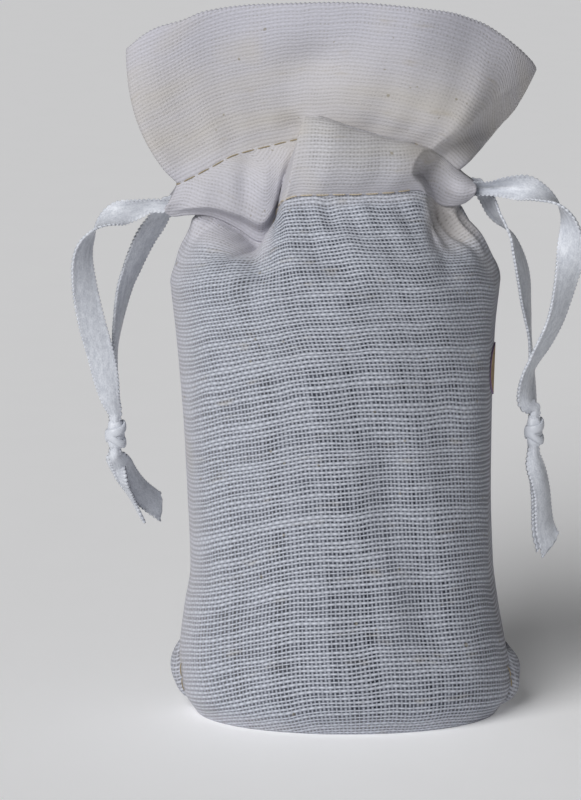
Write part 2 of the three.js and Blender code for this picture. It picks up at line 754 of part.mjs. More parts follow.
function knotGeometry(knot) {
  const angles = steps(0, 2 * Math.PI, knotPoints).slice(0, -1);
  const rings = knotLevels.map((height) => angles.map((angle) => {
    const barrel = knotEndShare + (1 - knotEndShare) * Math.sqrt(1 - height * height);
    const wrap = 1 - wrapDepth * Math.sin(angle + wrapWinding * height) ** 2;
    return new THREE.Vector3(
      knot.across + knot.halfWidth * barrel * wrap * Math.cos(angle),
      knot.halfDepth * barrel * wrap * Math.sin(angle),
      knot.height + knot.halfHeight * height,
    );
  }));
  return ringGeometry(ringCentre(rings[0]), rings, ringCentre(rings[rings.length - 1]));
}

const ribbonSides = [
  {
    word: 'left',
    outwards: -1,
    tip: casingLeft,
    farLining: rightLiningEnd + seatGap,
    exitHeight: leftExitHeight,
    bands: [lowBand, lowBandAtRight],
    knot: leftKnot,
    routes: { front: leftFrontRoute, back: leftBackRoute },
    turns: {
      front: [[0, 0], [0.1, 0], [0.24, 80], [0.36, 140], [0.55, 165], [0.85, 180], [1, 180]],
      back: [[0, 0], [0.1, 60], [0.3, 40], [0.6, 75], [0.8, 90], [1, 20]],
    },
    tails: { front: leftFrontTail, back: leftBackTail },
    tailTurns: { front: [[0, 0], [0.5, 10], [1, 20]], back: [[0, 0], [0.5, 40], [1, 50]] },
  },
  {
    word: 'right',
    outwards: 1,
    tip: casingRight,
    farLining: leftLiningEnd - seatGap,
    exitHeight: rightExitHeight,
    bands: [highBand, highBandAtRight],
    knot: rightKnot,
    routes: { front: rightFrontRoute, back: rightBackRoute },
    turns: {
      front: [[0, 0], [0.12, 0], [0.28, -80], [0.4, -140], [0.55, -160], [0.85, -180], [1, -180]],
      back: [[0, 0], [0.1, -60], [0.3, -50], [0.6, -75], [0.8, -80], [1, -20]],
    },
    tails: { front: rightFrontTail, back: rightBackTail },
    tailTurns: { front: [[0, 0], [0.5, 20], [1, 30]], back: [[0, 0], [0.5, 20], [1, 25]] },
  },
];

for (const ribbon of ribbonSides) {
  const { word, outwards, tip, exitHeight, knot } = ribbon;
  const leadOutside = tip + outwards * leadShown;
  const leadInside = tip - outwards * (pullTravel + leadHeld);
  const pivot = leadOutside + outwards * (seatGap + pivotWidth / 2);
  addPiece(`${word}_ribbon_in_casing`, casedRibbonGeometry(
    leadInside - outwards * seatGap,
    ribbon.farLining,
    ...ribbon.bands,
  ), satin());
  for (const [side, place] of [[FRONT, 'front'], [BACK, 'back']]) {
    const lead = new THREE.BoxGeometry(Math.abs(leadOutside - leadInside), ribbonThickness, leadFoldedWidth);
    lead.translate((leadOutside + leadInside) / 2, side * leadDepth, exitHeight);
    addPiece(`${word}_${place}_lead`, lead, satin());
    const knotTop = knot.height + knot.halfHeight + seatGap;
    const knotFoot = knot.height - knot.halfHeight - seatGap;
    const strandCurve = ribbonCurve([
      [pivot - (outwards * pivotWidth) / 2, side * leadDepth, exitHeight],
      [pivot, side * leadDepth, exitHeight],
      ...ribbon.routes[place],
      [knot.across, side * tieSpacing, knotTop + tieStraight],
      [knot.across, side * tieSpacing, knotTop],
    ]);
    addPiece(`${word}_${place}_strand`, strandGeometry(strandCurve, ribbon.turns[place]), satin());
    const tailCurve = ribbonCurve([
      [knot.across, side * tieSpacing, knotFoot],
      [knot.across, side * tieSpacing, knotFoot - tieStraight],
      ...ribbon.tails[place],
    ]);
    addPiece(`${word}_${place}_tail`, tailGeometry(tailCurve, ribbon.tailTurns[place]), satin());
  }
  addPiece(`${word}_knot`, knotGeometry(knot), satin());
}

export default sachet;
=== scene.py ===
import math

import bpy
import numpy as np
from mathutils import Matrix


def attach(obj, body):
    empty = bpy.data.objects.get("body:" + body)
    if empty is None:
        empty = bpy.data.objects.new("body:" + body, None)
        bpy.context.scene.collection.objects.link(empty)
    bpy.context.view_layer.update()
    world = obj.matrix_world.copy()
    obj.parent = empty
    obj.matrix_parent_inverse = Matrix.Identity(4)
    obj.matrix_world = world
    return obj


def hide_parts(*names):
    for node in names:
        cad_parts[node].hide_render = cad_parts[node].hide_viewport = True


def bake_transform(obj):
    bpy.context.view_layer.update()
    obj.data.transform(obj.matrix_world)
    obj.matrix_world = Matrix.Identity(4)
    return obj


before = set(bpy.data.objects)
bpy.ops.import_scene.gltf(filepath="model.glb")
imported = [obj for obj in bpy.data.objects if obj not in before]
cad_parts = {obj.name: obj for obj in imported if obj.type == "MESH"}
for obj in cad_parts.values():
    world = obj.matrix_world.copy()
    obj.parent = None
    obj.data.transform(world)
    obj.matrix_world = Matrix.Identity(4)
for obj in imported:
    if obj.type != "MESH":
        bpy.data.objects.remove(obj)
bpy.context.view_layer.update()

# Pouch body
# Open plain-weave linen, one layer thick, sewn up the sides and boxed at the bottom so that it stands.
# The filling rounds it out, and the neck draws its top in under the lower stitch line of the casing.
MM = 0.001
FRONT = -1
BACK = 1
THREAD_PITCH = 0.93

body_courses = [
    (0, 0.9, 34.0, 21.5),
    (5, 0.9, 37.0, 24.6),
    (14, 0.4, 37.8, 25.6),
    (25, -0.1, 36.1, 25.5),
    (34, -0.1, 34.6, 25.4),
    (62, -1.2, 34.3, 26.0),
    (86, -1.9, 34.9, 26.5),
    (98, -2.0, 36.0, 25.6),
]
body_squareness = 2.1
shoulder_rise = 17
shoulder_draw_in = 0.9
seam_roundness = 6
shoulder_left, shoulder_right = -32.0, 25.0
tab_half_thickness = 3.7
crest_level = 0.72
front_lower_stitch = [
    (-39.6, 113.2), (-37, 112.9), (-34.7, 113.2), (-30.4, 113.2), (-26.7, 112.0), (-22.7, 109.8),
    (-18.2, 107.2), (-16.2, 109.4), (-13.4, 116.6), (-10.2, 118.8), (-2.5, 119.4), (5.4, 119.4),
    (10.2, 119.7), (16.5, 119.9), (18.8, 118.2), (20.8, 115.7), (24.1, 115.2), (27.3, 116.2), (29.3, 117.4),
]
front_upper_stitch = [
    (-39.6, 118.2), (-37, 119.7), (-30.1, 123.5), (-23.4, 127.2), (-13.1, 129.7), (-4, 131.2), (4, 131.0),
    (9.3, 130.4), (18, 128.7), (21.3, 126.4), (25.1, 123.1), (27, 121.9), (29.3, 120.8),
]
back_lower_stitch = [
    (-39.6, 113.2), (-34.7, 113.4), (-24, 115), (-4, 118), (14, 117.6), (22, 115.8), (29.3, 117.4),
]
back_upper_stitch = [
    (-39.6, 118.2), (-37, 119.9), (-24, 127), (-4, 131), (16, 129.6), (25.1, 123.1), (29.3, 120.8),
]
front_pleat_depths = [(0, 11.5), (0.36, 13.2), (0.72, 10.6), (1, 5.2)]
back_pleat_depths = [(0, 9.5), (0.36, 9.5), (0.72, 7.5), (1, 4.5)]
front_pleat_crests = [(-14, 7.8), (-8, 8.7), (0, 6.2), (4, 5.0), (9.3, 3.6), (18, 2.2), (22, 1.2)]
front_pleat_ends = [(0, 19.0), (0.15, 18.0), (0.32, 16.0), (0.65, 18.0), (0.9, 20.0), (1, 20.4)]
front_pleat_tapers = [(-14, 1), (-2, 1), (10, 0.86), (17, 0.66), (22, 0.55)]
pleat_edge_low, pleat_edge_high = -13.8, -8.1
pleat_edge_width, pleat_end_width = 3.2, 3.2
pleat_edge_round, pleat_edge_share = 9, 0.2
pleat_overhang = 0.6
pleat_overhang_length = 9
channel_fullness, tab_fullness = 1.1, 2.4
tab_outer_fade, tab_inner_fade = (-38, -30), 3.5
tab_roll_fade, tab_roll_height = (0.1, 0.24), 1.3
back_swell_rise, back_swell_fall = (-23, -9), (6, 20)
shoulder_arrival = np.array([0.1, 1, 0.8])
wall_row_growth = 1.15
wall_samples, casing_samples = 401, 1600


def smooth_step(low, high, value):
    share = np.clip((value - low) / (high - low), 0, 1)
    return share * share * (3 - 2 * share)


def rise_and_fall(rise, fall, value):
    """0 before the rise and after the fall, 1 between them, and smooth over both spans."""
    return smooth_step(*rise, value) * (1 - smooth_step(*fall, value))


def hermite(start, start_slope, end, end_slope, share):
    square = share * share
    cube = square * share
    leave = (2 * cube - 3 * square + 1) * start + (cube - 2 * square + share) * start_slope
    return leave + (3 * square - 2 * cube) * end + (cube - square) * end_slope


def course_through(pairs):
    """A smooth curve through (position, value) pairs, read by position."""
    places = np.array([pair[0] for pair in pairs], float)
    values = np.array([pair[1] for pair in pairs], float)
    lows = np.maximum(np.arange(len(pairs)) - 1, 0)
    highs = np.minimum(np.arange(len(pairs)) + 1, len(pairs) - 1)
    slopes = (values[highs] - values[lows]) / (places[highs] - places[lows])

    def read(position):
        position = np.asarray(position, float)
        index = np.clip(np.searchsorted(places, position) - 1, 0, len(places) - 2)
        span = places[index + 1] - places[index]
        share = np.clip((position - places[index]) / span, 0, 1)
        leave, arrive = slopes[index] * span, slopes[index + 1] * span
        return hermite(values[index], leave, values[index + 1], arrive, share)

    return read


def lengths_along(points):
    """The length from the start of a row to each of its points, or up each column of a grid."""
    steps = np.linalg.norm(np.diff(points, axis=0), axis=-1)
    return np.concatenate([np.zeros_like(steps[:1]), np.cumsum(steps, axis=0)])


def at_lengths(points, wanted):
    places = lengths_along(points)
    return np.stack([np.interp(wanted, places, points[:, axis]) for axis in range(3)], axis=1)


def by_length(points, shares):
    """Points of a row at equal shares of its length, so that threads run straight up the cloth."""
    return at_lengths(points, np.clip(shares, 0, 1) * lengths_along(points)[-1])


body_middle = course_through([(course[0], course[1]) for course in body_courses])
body_half_width = course_through([(course[0], course[2]) for course in body_courses])
body_half_depth = course_through([(course[0], course[3]) for course in body_courses])
body_top = body_courses[-1][0]
stitch_lines = {
    (FRONT, 0): course_through(front_lower_stitch),
    (FRONT, 1): course_through(front_upper_stitch),
    (BACK, 0): course_through(back_lower_stitch),
    (BACK, 1): course_through(back_upper_stitch),
}
front_depth = course_through(front_pleat_depths)
back_depth = course_through(back_pleat_depths)
front_crest = course_through(front_pleat_crests)
front_end = course_through(front_pleat_ends)
front_taper = course_through(front_pleat_tapers)


def casing_at(side, across, level, inset=0):
    """A point of the casing by its place across and its level between the two stitch lines."""
    across = np.asarray(across, float)
    level = np.asarray(level, float) + 0 * across
    lower, upper = stitch_lines[side, 0](across), stitch_lines[side, 1](across)
    height = lower + (upper - lower) * level
    fullness = channel_fullness * np.sin(np.pi * np.clip(level, 0, 1)) * (inset == 0)
    if side == BACK:
        swell = smooth_step(*back_swell_rise, across - inset)
        swell = swell * (1 - smooth_step(*back_swell_fall, across + inset))
        deep = tab_half_thickness + back_depth(level) * swell + fullness - inset
        return np.stack([across, deep, height], axis=-1)
    edge = pleat_edge_low + (pleat_edge_high - pleat_edge_low) * level + inset
    half = pleat_edge_width / 2
    rise = smooth_step(edge - half, edge + half, across)
    end = front_end(level) - inset
    swell = rise * (1 - smooth_step(end - pleat_end_width / 2, end + pleat_end_width / 2, across))
    crest = front_crest(across) * np.sin(np.pi * np.minimum(level / crest_level / 2, 1)) ** 2
    fall_back = (np.maximum(level - crest_level, 0) / (1 - crest_level)) ** 2
    fold = rise * (1 - smooth_step(edge, edge + pleat_overhang_length, across)) * (inset == 0)
    on_tab = rise_and_fall(tab_outer_fade, (edge - tab_inner_fade, edge), across)
    roll = smooth_step(*tab_roll_fade, level) * np.clip(1 - level, 0, 1) * tab_roll_height
    fullness = fullness + tab_fullness * roll * on_tab * (inset == 0)
    face = 1 - pleat_edge_share * (1 - smooth_step(edge, edge + pleat_edge_round, across))
    deep = tab_half_thickness + front_depth(level) * front_taper(across) * face * swell + fullness - inset
    return np.stack([
        across - pleat_overhang * fold,
        -deep,
        height + swell * crest * (1 - fall_back),
    ], axis=-1)


def seam_rounding(across, left, right):
    share = np.abs((2 * across - left - right) / (right - left))
    return np.maximum(1 - share ** seam_roundness, 0) ** (1 / seam_roundness)


def wall_row(side, height, shares):
    angle = np.pi * (1 - np.linspace(0, 1, wall_samples))
    across = np.sign(np.cos(angle)) * np.abs(np.cos(angle)) ** (2 / body_squareness)
    deep = np.maximum(np.sin(angle), 0) ** (2 / body_squareness)
    points = np.stack([
        body_middle(height) + body_half_width(height) * across,
        side * body_half_depth(height) * deep,
        np.full(len(angle), float(height)),
    ], axis=1)
    return by_length(points, shares)


def sewn_row(side, level, left, right, shares):
    """A row of the casing whose two ends are sewn shut at the side seams."""
    across = np.linspace(left, right, casing_samples)
    points = casing_at(side, across, level)
    points[:, 1] *= seam_rounding(across, left, right)
    return by_length(points, shares)


def whole_ring(row_of, half_columns):
    """Front from left to right, then back from right to left."""
    shares = np.linspace(0, 1, half_columns + 1)
    return np.concatenate([row_of(FRONT, shares), row_of(BACK, shares)[::-1][1:-1]])


def grid_normals(grid, ring):
    if ring:
        along = np.roll(grid, -1, axis=1) - np.roll(grid, 1, axis=1)
    else:
        along = np.gradient(grid, axis=1)
    normal = np.cross(along, np.gradient(grid, axis=0))
    return normal / np.maximum(np.linalg.norm(normal, axis=2, keepdims=True), 1e-9)


def ripples(seed, round_share, tall_share, round_waves, tall_waves, count):
    """Random soft folds that close up round the ring: round_share runs from 0 to 1 once round it."""
    rng = np.random.default_rng(seed)
    total = 0
    for unused in range(count):
        turns = rng.integers(round_waves[0], round_waves[1] + 1)
        rises = rng.uniform(*tall_waves) * rng.choice([-1, 1])
        start = rng.uniform(0, 1)
        total = total + np.cos(2 * np.pi * (turns * round_share + rises * tall_share + start))
    return total / math.sqrt(count / 2)


def mound(place, height, middle, reach):
    """A soft hump of height 1 round a place on the front of the cloth."""
    return np.exp(-((place - middle[0]) / reach[0]) ** 2 - ((height - middle[1]) / reach[1]) ** 2)


wall_rows, shoulder_rows, base_rows = 130, 62, 12
base_hole_share = 0.02
half_columns = 170
ring_columns = 2 * half_columns


def body_grid():
    """The pouch from the middle of its base, out to the floor edge, up the wall and in to the neck."""
    heights = body_top * np.linspace(0, 1, wall_rows + 1) ** wall_row_growth
    wall = []
    for height in heights:
        wall.append(whole_ring(lambda side, shares: wall_row(side, height, shares), half_columns))
    foot, top = wall[0], wall[-1]
    neck = whole_ring(
        lambda side, shares: sewn_row(side, 0, shoulder_left, shoulder_right, shares), half_columns,
    )
    drawn = neck - top
    leave = np.array([0, 0, shoulder_rise])
    arrive = drawn * shoulder_arrival * shoulder_draw_in
    shoulder = [
        hermite(top, leave, neck, arrive, share)
        for share in np.linspace(0, 1, shoulder_rows + 1)[1:]
    ]
    middle = np.array([body_middle(0), 0, 0])
    base_shares = np.linspace(base_hole_share, 1, base_rows, endpoint=False)
    base = [middle + (foot - middle) * share for share in base_shares]
    return np.array(base + wall + shoulder)


def body_levels():
    """Level of each row: below 0 in the base, 0 to 1 up the wall and 1 to 2 over the shoulder."""
    base = np.linspace(-1, 0, base_rows, endpoint=False)
    wall = np.linspace(0, 1, wall_rows + 1) ** wall_row_growth
    shoulder = 1 + np.linspace(0, 1, shoulder_rows + 1)[1:]
    return np.concatenate([base, wall, shoulder])


pouch = body_grid()
level = body_levels()[:, None]
ring_share = (np.arange(ring_columns) / ring_columns)[None, :]
facing_front = pouch[:, :, 1] < 0
off_floor = smooth_step(0.02, 0.16, level)
under_stitch = 1 - smooth_step(1.84, 2, level)
bulge_height, dimple_height, gather_height = 0.55, 0.2, 0.45
smooth_middle, smooth_reach, smooth_share = -4, 24, 0.25
bulge = bulge_height * ripples(3, ring_share, level, (2, 6), (0.2, 1.1), 9)
bulge = bulge + dimple_height * ripples(5, ring_share, level, (7, 15), (0.4, 2.2), 12)
gathers = gather_height * ripples(8, ring_share, level, (22, 40), (0, 0.5), 10)
gathers = gathers * smooth_step(1.2, 1.85, level)
under_pleat = facing_front & (np.abs(pouch[:, :, 0] - smooth_middle) < smooth_reach)
gathers = gathers * np.where(under_pleat, smooth_share, 1)
front_lobes = [
    (3.4, (-27, 106.5), (6, 5.5)), (-1.4, (-18.5, 104), (2.2, 4)), (-1.2, (-20.5, 99.5), (2.4, 4.5)),
    (-1.5, (20.5, 112), (2.0, 4)), (-0.9, (23, 108), (2.2, 4)), (1.2, (28, 106), (4, 5)),
]
lobes = 0
for high, middle, reach in front_lobes:
    lobes = lobes + high * mound(pouch[:, :, 0], pouch[:, :, 2], middle, reach)
swelling = (bulge + gathers + lobes * facing_front) * off_floor * under_stitch
pouch = pouch + grid_normals(pouch, True) * swelling[:, :, None]
pouch[:, :, 2] = np.maximum(pouch[:, :, 2], 0)


def cloth_piece(name, grid, threads, doubled, ring=False):
    """A piece of cloth from a grid of points, with its thread counts and how closed its weave looks."""
    rows, columns = grid.shape[:2]
    spans = columns if ring else columns - 1
    row, column = np.meshgrid(np.arange(rows - 1), np.arange(spans), indexing="ij")
    corner_rows = np.stack([row, row, row + 1, row + 1], axis=-1).reshape(-1, 4)
    corner_columns = np.stack([column, column + 1, column + 1, column], axis=-1).reshape(-1, 4)
    faces = corner_rows * columns + corner_columns % columns
    mesh = bpy.data.meshes.new(name)
    mesh.from_pydata((grid.reshape(-1, 3) * MM).tolist(), [], faces.tolist())
    laid = np.stack([corner_columns / spans, corner_rows / (rows - 1)], axis=-1)
    mesh.uv_layers.new(name="OFBake").data.foreach_set("uv", laid.astype(np.float32).ravel())
    counted = threads[corner_rows, corner_columns].astype(np.float32)
    mesh.uv_layers.new(name="threads").data.foreach_set("uv", counted.ravel())
    cover = np.broadcast_to(doubled, (rows, columns)).astype(np.float32)
    mesh.attributes.new("doubled", "FLOAT", "POINT").data.foreach_set("value", cover.ravel())
    mesh.shade_smooth()
    piece = bpy.data.objects.new(name, mesh)
    bpy.context.collection.objects.link(piece)
    return piece


def ring_threads(grid, threads_round, pitch=THREAD_PITCH):
    """Thread counts over a ring: warp by share of the ring, weft by length up each column."""
    columns = grid.shape[1]
    warp = np.arange(columns + 1) * threads_round / columns
    weft = lengths_along(grid) / pitch
    weft = np.concatenate([weft, weft[:, :1]], axis=1)
    return np.stack([np.broadcast_to(warp, weft.shape), weft], axis=-1)


longest_column, count_step = 200, 0.5


def pouch_threads(grid, threads_round):
    """Thread counts over the pouch, whose rows sag to the left, crowd in bands and twist near the top."""
    counts = ring_threads(grid, threads_round)
    along = np.arange(0, longest_column, count_step)
    crowded = np.cumsum(thread_crowding(along)) * count_step
    radial = lengths_along(grid)[base_rows]
    up_wall = lengths_along(grid) - radial
    up_wall = np.where(up_wall > 0, np.interp(up_wall, along, crowded), up_wall)
    weft = (up_wall + radial - row_lift(grid[base_rows + wall_rows // 2, :, 0])) / THREAD_PITCH
    counts[:, :, 1] = np.concatenate([weft, weft[:, :1]], axis=1)
    counts[:, :, 0] = counts[:, :, 0] + column_twist(grid[:, :, 2].mean(axis=1))[:, None] / THREAD_PITCH
    return counts


class Signal:
    """A value that changes over a surface, so that finishes are written as plain sums."""

    def __init__(self, finish, socket):
        self.finish = finish
        self.socket = socket

    def math(self, operation, *values):
        made = {place: value for place, value in enumerate(values)}
        return self.finish.node("ShaderNodeMath", {"operation": operation}, made)

    def __add__(self, other):
        return self.math("ADD", self, other)

    def __sub__(self, other):
        return self.math("SUBTRACT", self, other)

    def __rsub__(self, other):
        return self.math("SUBTRACT", other, self)

    def __mul__(self, other):
        return self.math("MULTIPLY", self, other)

    def __truediv__(self, other):
        return self.math("DIVIDE", self, other)

    __radd__ = __add__
    __rmul__ = __mul__

    def whole(self):
        return self.math("FLOOR", self)

    def part(self):
        return self.math("FRACT", self)

    def size(self):
        return self.math("ABSOLUTE", self)

    def cosine(self):
        return self.math("COSINE", self)

    def or_more(self, other):
        return self.math("MAXIMUM", self, other)

    def step(self, low, high):
        """0 below low, 1 above high and smooth between them; low and high may be signals."""
        settings = {"interpolation_type": "SMOOTHSTEP"}
        sockets = {"Value": self, "From Min": low, "From Max": high}
        return self.finish.node("ShaderNodeMapRange", settings, sockets)


class Finish:
    """One material: a Principled shader, and the signals that feed it."""

    def __init__(self, name):
        self.material = bpy.data.materials.new(name)
        self.material.use_nodes = True
        self.tree = self.material.node_tree
        self.shader = self.tree.nodes["Principled BSDF"]

    def feed(self, socket, value):
        if isinstance(value, Signal):
            self.tree.links.new(value.socket, socket)
        else:
            socket.default_value = value

    def node(self, kind, settings, sockets, output=0):
        made = self.tree.nodes.new(kind)
        for word, value in settings.items():
            setattr(made, word, value)
        for place, value in sockets.items():
            self.feed(made.inputs[place], value)
        return Signal(self, made.outputs[output])

    def set(self, **sockets):
        for word, value in sockets.items():
            self.feed(self.shader.inputs[word.replace("_", " ")], value)

    def layer(self, name):
        return self.node("ShaderNodeUVMap", {"uv_map": name}, {})

    def position(self):
        return self.node("ShaderNodeNewGeometry", {}, {})

    def axis(self, vector, number):
        return self.node("ShaderNodeSeparateXYZ", {}, {0: vector}, number)

    def pair(self, across, up):
        return self.node("ShaderNodeCombineXYZ", {}, {0: across, 1: up})

    def noise(self, place, scale, detail=2):
        return self.node("ShaderNodeTexNoise", {}, {"Vector": place, "Scale": scale, "Detail": detail})

    def lot(self, number):
        """A random value from 0 to 1 for each whole number."""
        settings = {"noise_dimensions": "1D"}
        return self.node("ShaderNodeTexWhiteNoise", settings, {"W": number})

    def blend(self, share, first, second):
        settings = {"data_type": "RGBA"}
        return self.node("ShaderNodeMix", settings, {0: share, 6: first, 7: second}, 2)

    def bump(self, height, distance, strength):
        return self.node("ShaderNodeBump", {}, {"Height": height, "Distance": distance, "Strength": strength})


def paint(red, green, blue):
    return (red, green, blue, 1)


# Painted shade: each pair of thread colours darkens low in the weave, the body's cooler for the dark fill
# behind it.
body_painted_shade, body_thread = paint(0.16, 0.172, 0.209), paint(0.65, 0.677, 0.752)
frill_painted_shade, frill_thread = paint(0.47, 0.466, 0.51), paint(0.588, 0.584, 0.655)
# Painted gaps: shade of the dark inside where the cloth is single, light passing through where it is doubled.
body_gap_painted_shade, frill_gap_painted_light = paint(0.01, 0.012, 0.02), paint(0.47, 0.45, 0.45)
cream, straw, husk = paint(0.545, 0.51, 0.455), paint(0.43, 0.385, 0.31), paint(0.2, 0.16, 0.07)
warp_wander, weft_wander = 1.1, 1.7
warp_wander_scale, weft_wander_scale = 0.045, 0.06
slub_scale, patch_scale, aged_scale, speck_scale = 0.11, 0.16, 0.03, 0.6
warp_level, warp_wave = 0.38, 0.24
weft_level, weft_wave = 0.76, 0.2
aged_share, fleck_share, speck_share = 0.55, 0.35, 0.5
foot_slack_heights, cream_start, cream_fade = (0.012, 0.075), (0.119, 0.13), (0.136, 0.157)
warp_shifting, weft_shifting = 0.16, 0.2
warp_least, weft_least = 0.255, 0.24
warp_unlike, weft_unlike = 0.12, 0.14
warp_slubs, weft_slubs = 0.26, 0.5
warp_patches, weft_patches = 0.11, 0.09
doubled_fullness, foot_slack, open_column_slack = 0.12, 0.03, 0.05
gap_inner_edge, gap_outer_edge = 0.03, 0.06
gap_least, gap_by_column, gap_by_chance = 0.38, 0.35, 0.3
cream_low, cream_added = 0.14, 0.48
weave_relief = 0.00028


def linen_finish(name):
    """Plain weave over and under, with painted shade in the gaps where the cloth is one layer thick, painted
    light where doubled.
    """
    linen = Finish(name)
    counted = linen.layer("threads")
    drift = linen.noise(counted, warp_wander_scale)
    warp = linen.axis(counted, 0) + (drift - 0.5) * warp_wander
    sway = linen.noise(counted, weft_wander_scale)
    weft = linen.axis(counted, 1) + (sway - 0.5) * weft_wander
    warp_number, weft_number = warp.whole(), weft.whole()
    warp_lot, weft_lot = linen.lot(warp_number), linen.lot(weft_number + 0.37)
    warp_shift = (linen.lot(warp_number + 0.71) - 0.5) * warp_shifting
    weft_shift = (linen.lot(weft_number + 0.83) - 0.5) * weft_shifting
    weft_slub = linen.noise(linen.pair(warp * slub_scale, weft_number * 7.3), 1.0) - 0.5
    warp_slub = linen.noise(linen.pair(warp_number * 5.1, weft * slub_scale), 1.0) - 0.5
    patch = linen.noise(counted, patch_scale) - 0.5
    open_column = linen.noise(linen.pair(warp_number * 0.31, weft * 0.006), 1.0).step(0.36, 0.66)
    chance = linen.lot((warp + 0.5).whole() * 57.1 + (weft + 0.5).whole() * 1.3)
    doubled = linen.node("ShaderNodeAttribute", {"attribute_name": "doubled"}, {}, 2)
    tall = linen.axis(linen.position(), 2)
    fuller = doubled * doubled_fullness - (1 - tall.step(*foot_slack_heights)) * foot_slack
    warp_half = warp_lot * warp_unlike + warp_slub * warp_slubs + patch * warp_patches + warp_least + fuller
    warp_half = warp_half - open_column * open_column_slack
    weft_half = weft_lot * weft_unlike + weft_slub * weft_slubs + patch * weft_patches + weft_least + fuller
    beside_warp = (warp.part() - 0.5 + warp_shift).size()
    beside_weft = (weft.part() - 0.5 + weft_shift).size()
    gap = beside_warp.step(warp_half - gap_inner_edge, warp_half + gap_outer_edge)
    gap = gap * beside_weft.step(weft_half - gap_inner_edge, weft_half + gap_outer_edge)
    gap = gap * (chance * gap_by_chance + open_column * gap_by_column + gap_least)
    warp_round = (1 - (beside_warp / warp_half) * (beside_warp / warp_half)).or_more(0)
    weft_round = (1 - (beside_weft / weft_half) * (beside_weft / weft_half)).or_more(0)
    weft_lift = ((warp - 0.5 + weft_number) * math.pi).cosine()
    warp_lift = ((weft - 0.5 + warp_number) * math.pi).cosine()
    weft_height = weft_round * (weft_lift * weft_wave + weft_level)
    height = weft_height.or_more(warp_round * (warp_level - warp_lift * warp_wave))
    # Painted shade: the threads are darker where they lie low in the weave.
    body_colour = linen.blend(height, body_painted_shade, body_thread)
    frill_colour = linen.blend(height, frill_painted_shade, frill_thread)
    aged = linen.noise(counted, aged_scale).step(0.48, 0.7) * aged_share
    streak = linen.noise(linen.pair(warp * 0.025, weft * 0.12), 1.0).step(0.3, 0.7) * 0.6 + 0.55
    # A warm band low on the frill, in streaks: partly cream staining, partly painted warm light bounced in
    # its folds.
    cream_stain_and_warm_bounce = tall.step(*cream_start) * cream_added + cream_low
    cream_stain_and_warm_bounce = (1 - tall.step(*cream_fade)) * cream_stain_and_warm_bounce * streak
    frill_colour = linen.blend(aged.or_more(cream_stain_and_warm_bounce), frill_colour, cream)
    thread = linen.blend(doubled.step(0.2, 0.85), body_colour, frill_colour)
    flecks = linen.noise(linen.pair(warp * 0.09, weft * 0.3), 1.0, 3).step(0.6, 0.78)
    thread = linen.blend(flecks * fleck_share, thread, straw)
    specks = linen.noise(counted, speck_scale, 0).step(0.82, 0.86)
    thread = linen.blend(specks * speck_share, thread, husk)
    # The gaps show painted shade in single cloth and painted light in doubled cloth.
    painted_through_gaps = linen.blend(doubled, body_gap_painted_shade, frill_gap_painted_light)
    linen.set(Base_Color=linen.blend(gap, thread, painted_through_gaps), Roughness=0.94 - height * 0.12)
    linen.set(Normal=linen.bump((height - gap * 0.4) * (1 - doubled * 0.5), weave_relief, 0.55))
    linen.set(Sheen_Weight=0.05, Sheen_Roughness=0.5, Specular_IOR_Level=0.25)
    return linen.material


def fading_cover(place, share, whole_to, gone_by):
    """How far the weave is closed: a share of it up to one place, and none of it past another."""
    return share * (1 - smooth_step(whole_to, gone_by, place))


linen = linen_finish("woven_linen")
threads_round = 214
thread_crowding = course_through([
    (0, 0.92), (10, 0.91), (23, 0.97), (37, 0.93), (50, 0.91),
    (64, 1.04), (77, 0.91), (91, 1.1), (104, 1.12), (140, 1.1),
])
row_lift = course_through([
    (-37, 2.9), (-28.5, 1.7), (-17.4, 0.4), (-6.2, 0), (4.9, 0.8), (16, 3.5), (27.2, 7.6), (36, 10.6),
])
column_twist = course_through([
    (0, 0), (62, 2.2), (72, 2.8), (83, 4.4), (90, 6.4), (97, 8.9), (104, 9.8), (130, 10),
])
pleat_rise, pleat_fall = (-18, -13), (15, 20)
neck_cover_share, neck_cover_levels = 0.8, (1.15, 1.7)
below_neck = lengths_along(pouch)[-1:] - lengths_along(pouch)
beside_pleat = 1 - rise_and_fall(pleat_rise, pleat_fall, pouch[:, :, 0])
from_seam = np.abs((ring_share * 2 + 0.5) % 1 - 0.5)
neck_cover = neck_cover_share * smooth_step(*neck_cover_levels, level) * beside_pleat * facing_front
hem_cover = fading_cover(below_neck, share=0.4, whole_to=1.5, gone_by=4.5)
side_cover = fading_cover(from_seam, share=0.5, whole_to=0.02, gone_by=0.27)
foot_cover = fading_cover(pouch[:, :, 2], share=0.36, whole_to=1.5, gone_by=7)
# Painted light: the front's left side, facing the lamp, gets a closer weave with lighter gaps.
left_painted_light = fading_cover(pouch[:, :, 0], share=0.16, whole_to=-30, gone_by=-4) * facing_front
wall_cover = np.maximum(side_cover, foot_cover) + left_painted_light
body_cover = np.maximum(np.maximum(hem_cover, neck_cover), wall_cover)
pouch_body = cloth_piece("pouch_body", pouch, pouch_threads(pouch, threads_round), body_cover, ring=True)
pouch_body.data.materials.append(linen)
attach(pouch_body, "bag")
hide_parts("front_body", "back_body", "base_panel")

# Boxed corners
# Where the bottom is boxed, the cloth's corner is stitched off across the side seam and left outside.
# Each is a small doubled flap of the same linen, held by a short row of ochre thread at its front edge.
ear_columns, ear_rows = 40, 34
ear_stand, ear_tuck = 0.35, 0.2
ear_crumple, ear_lean, ear_cover = 0.25, 0.3, 0.45
ear_cloth_thickness = 0.4
half_girth = 98.0


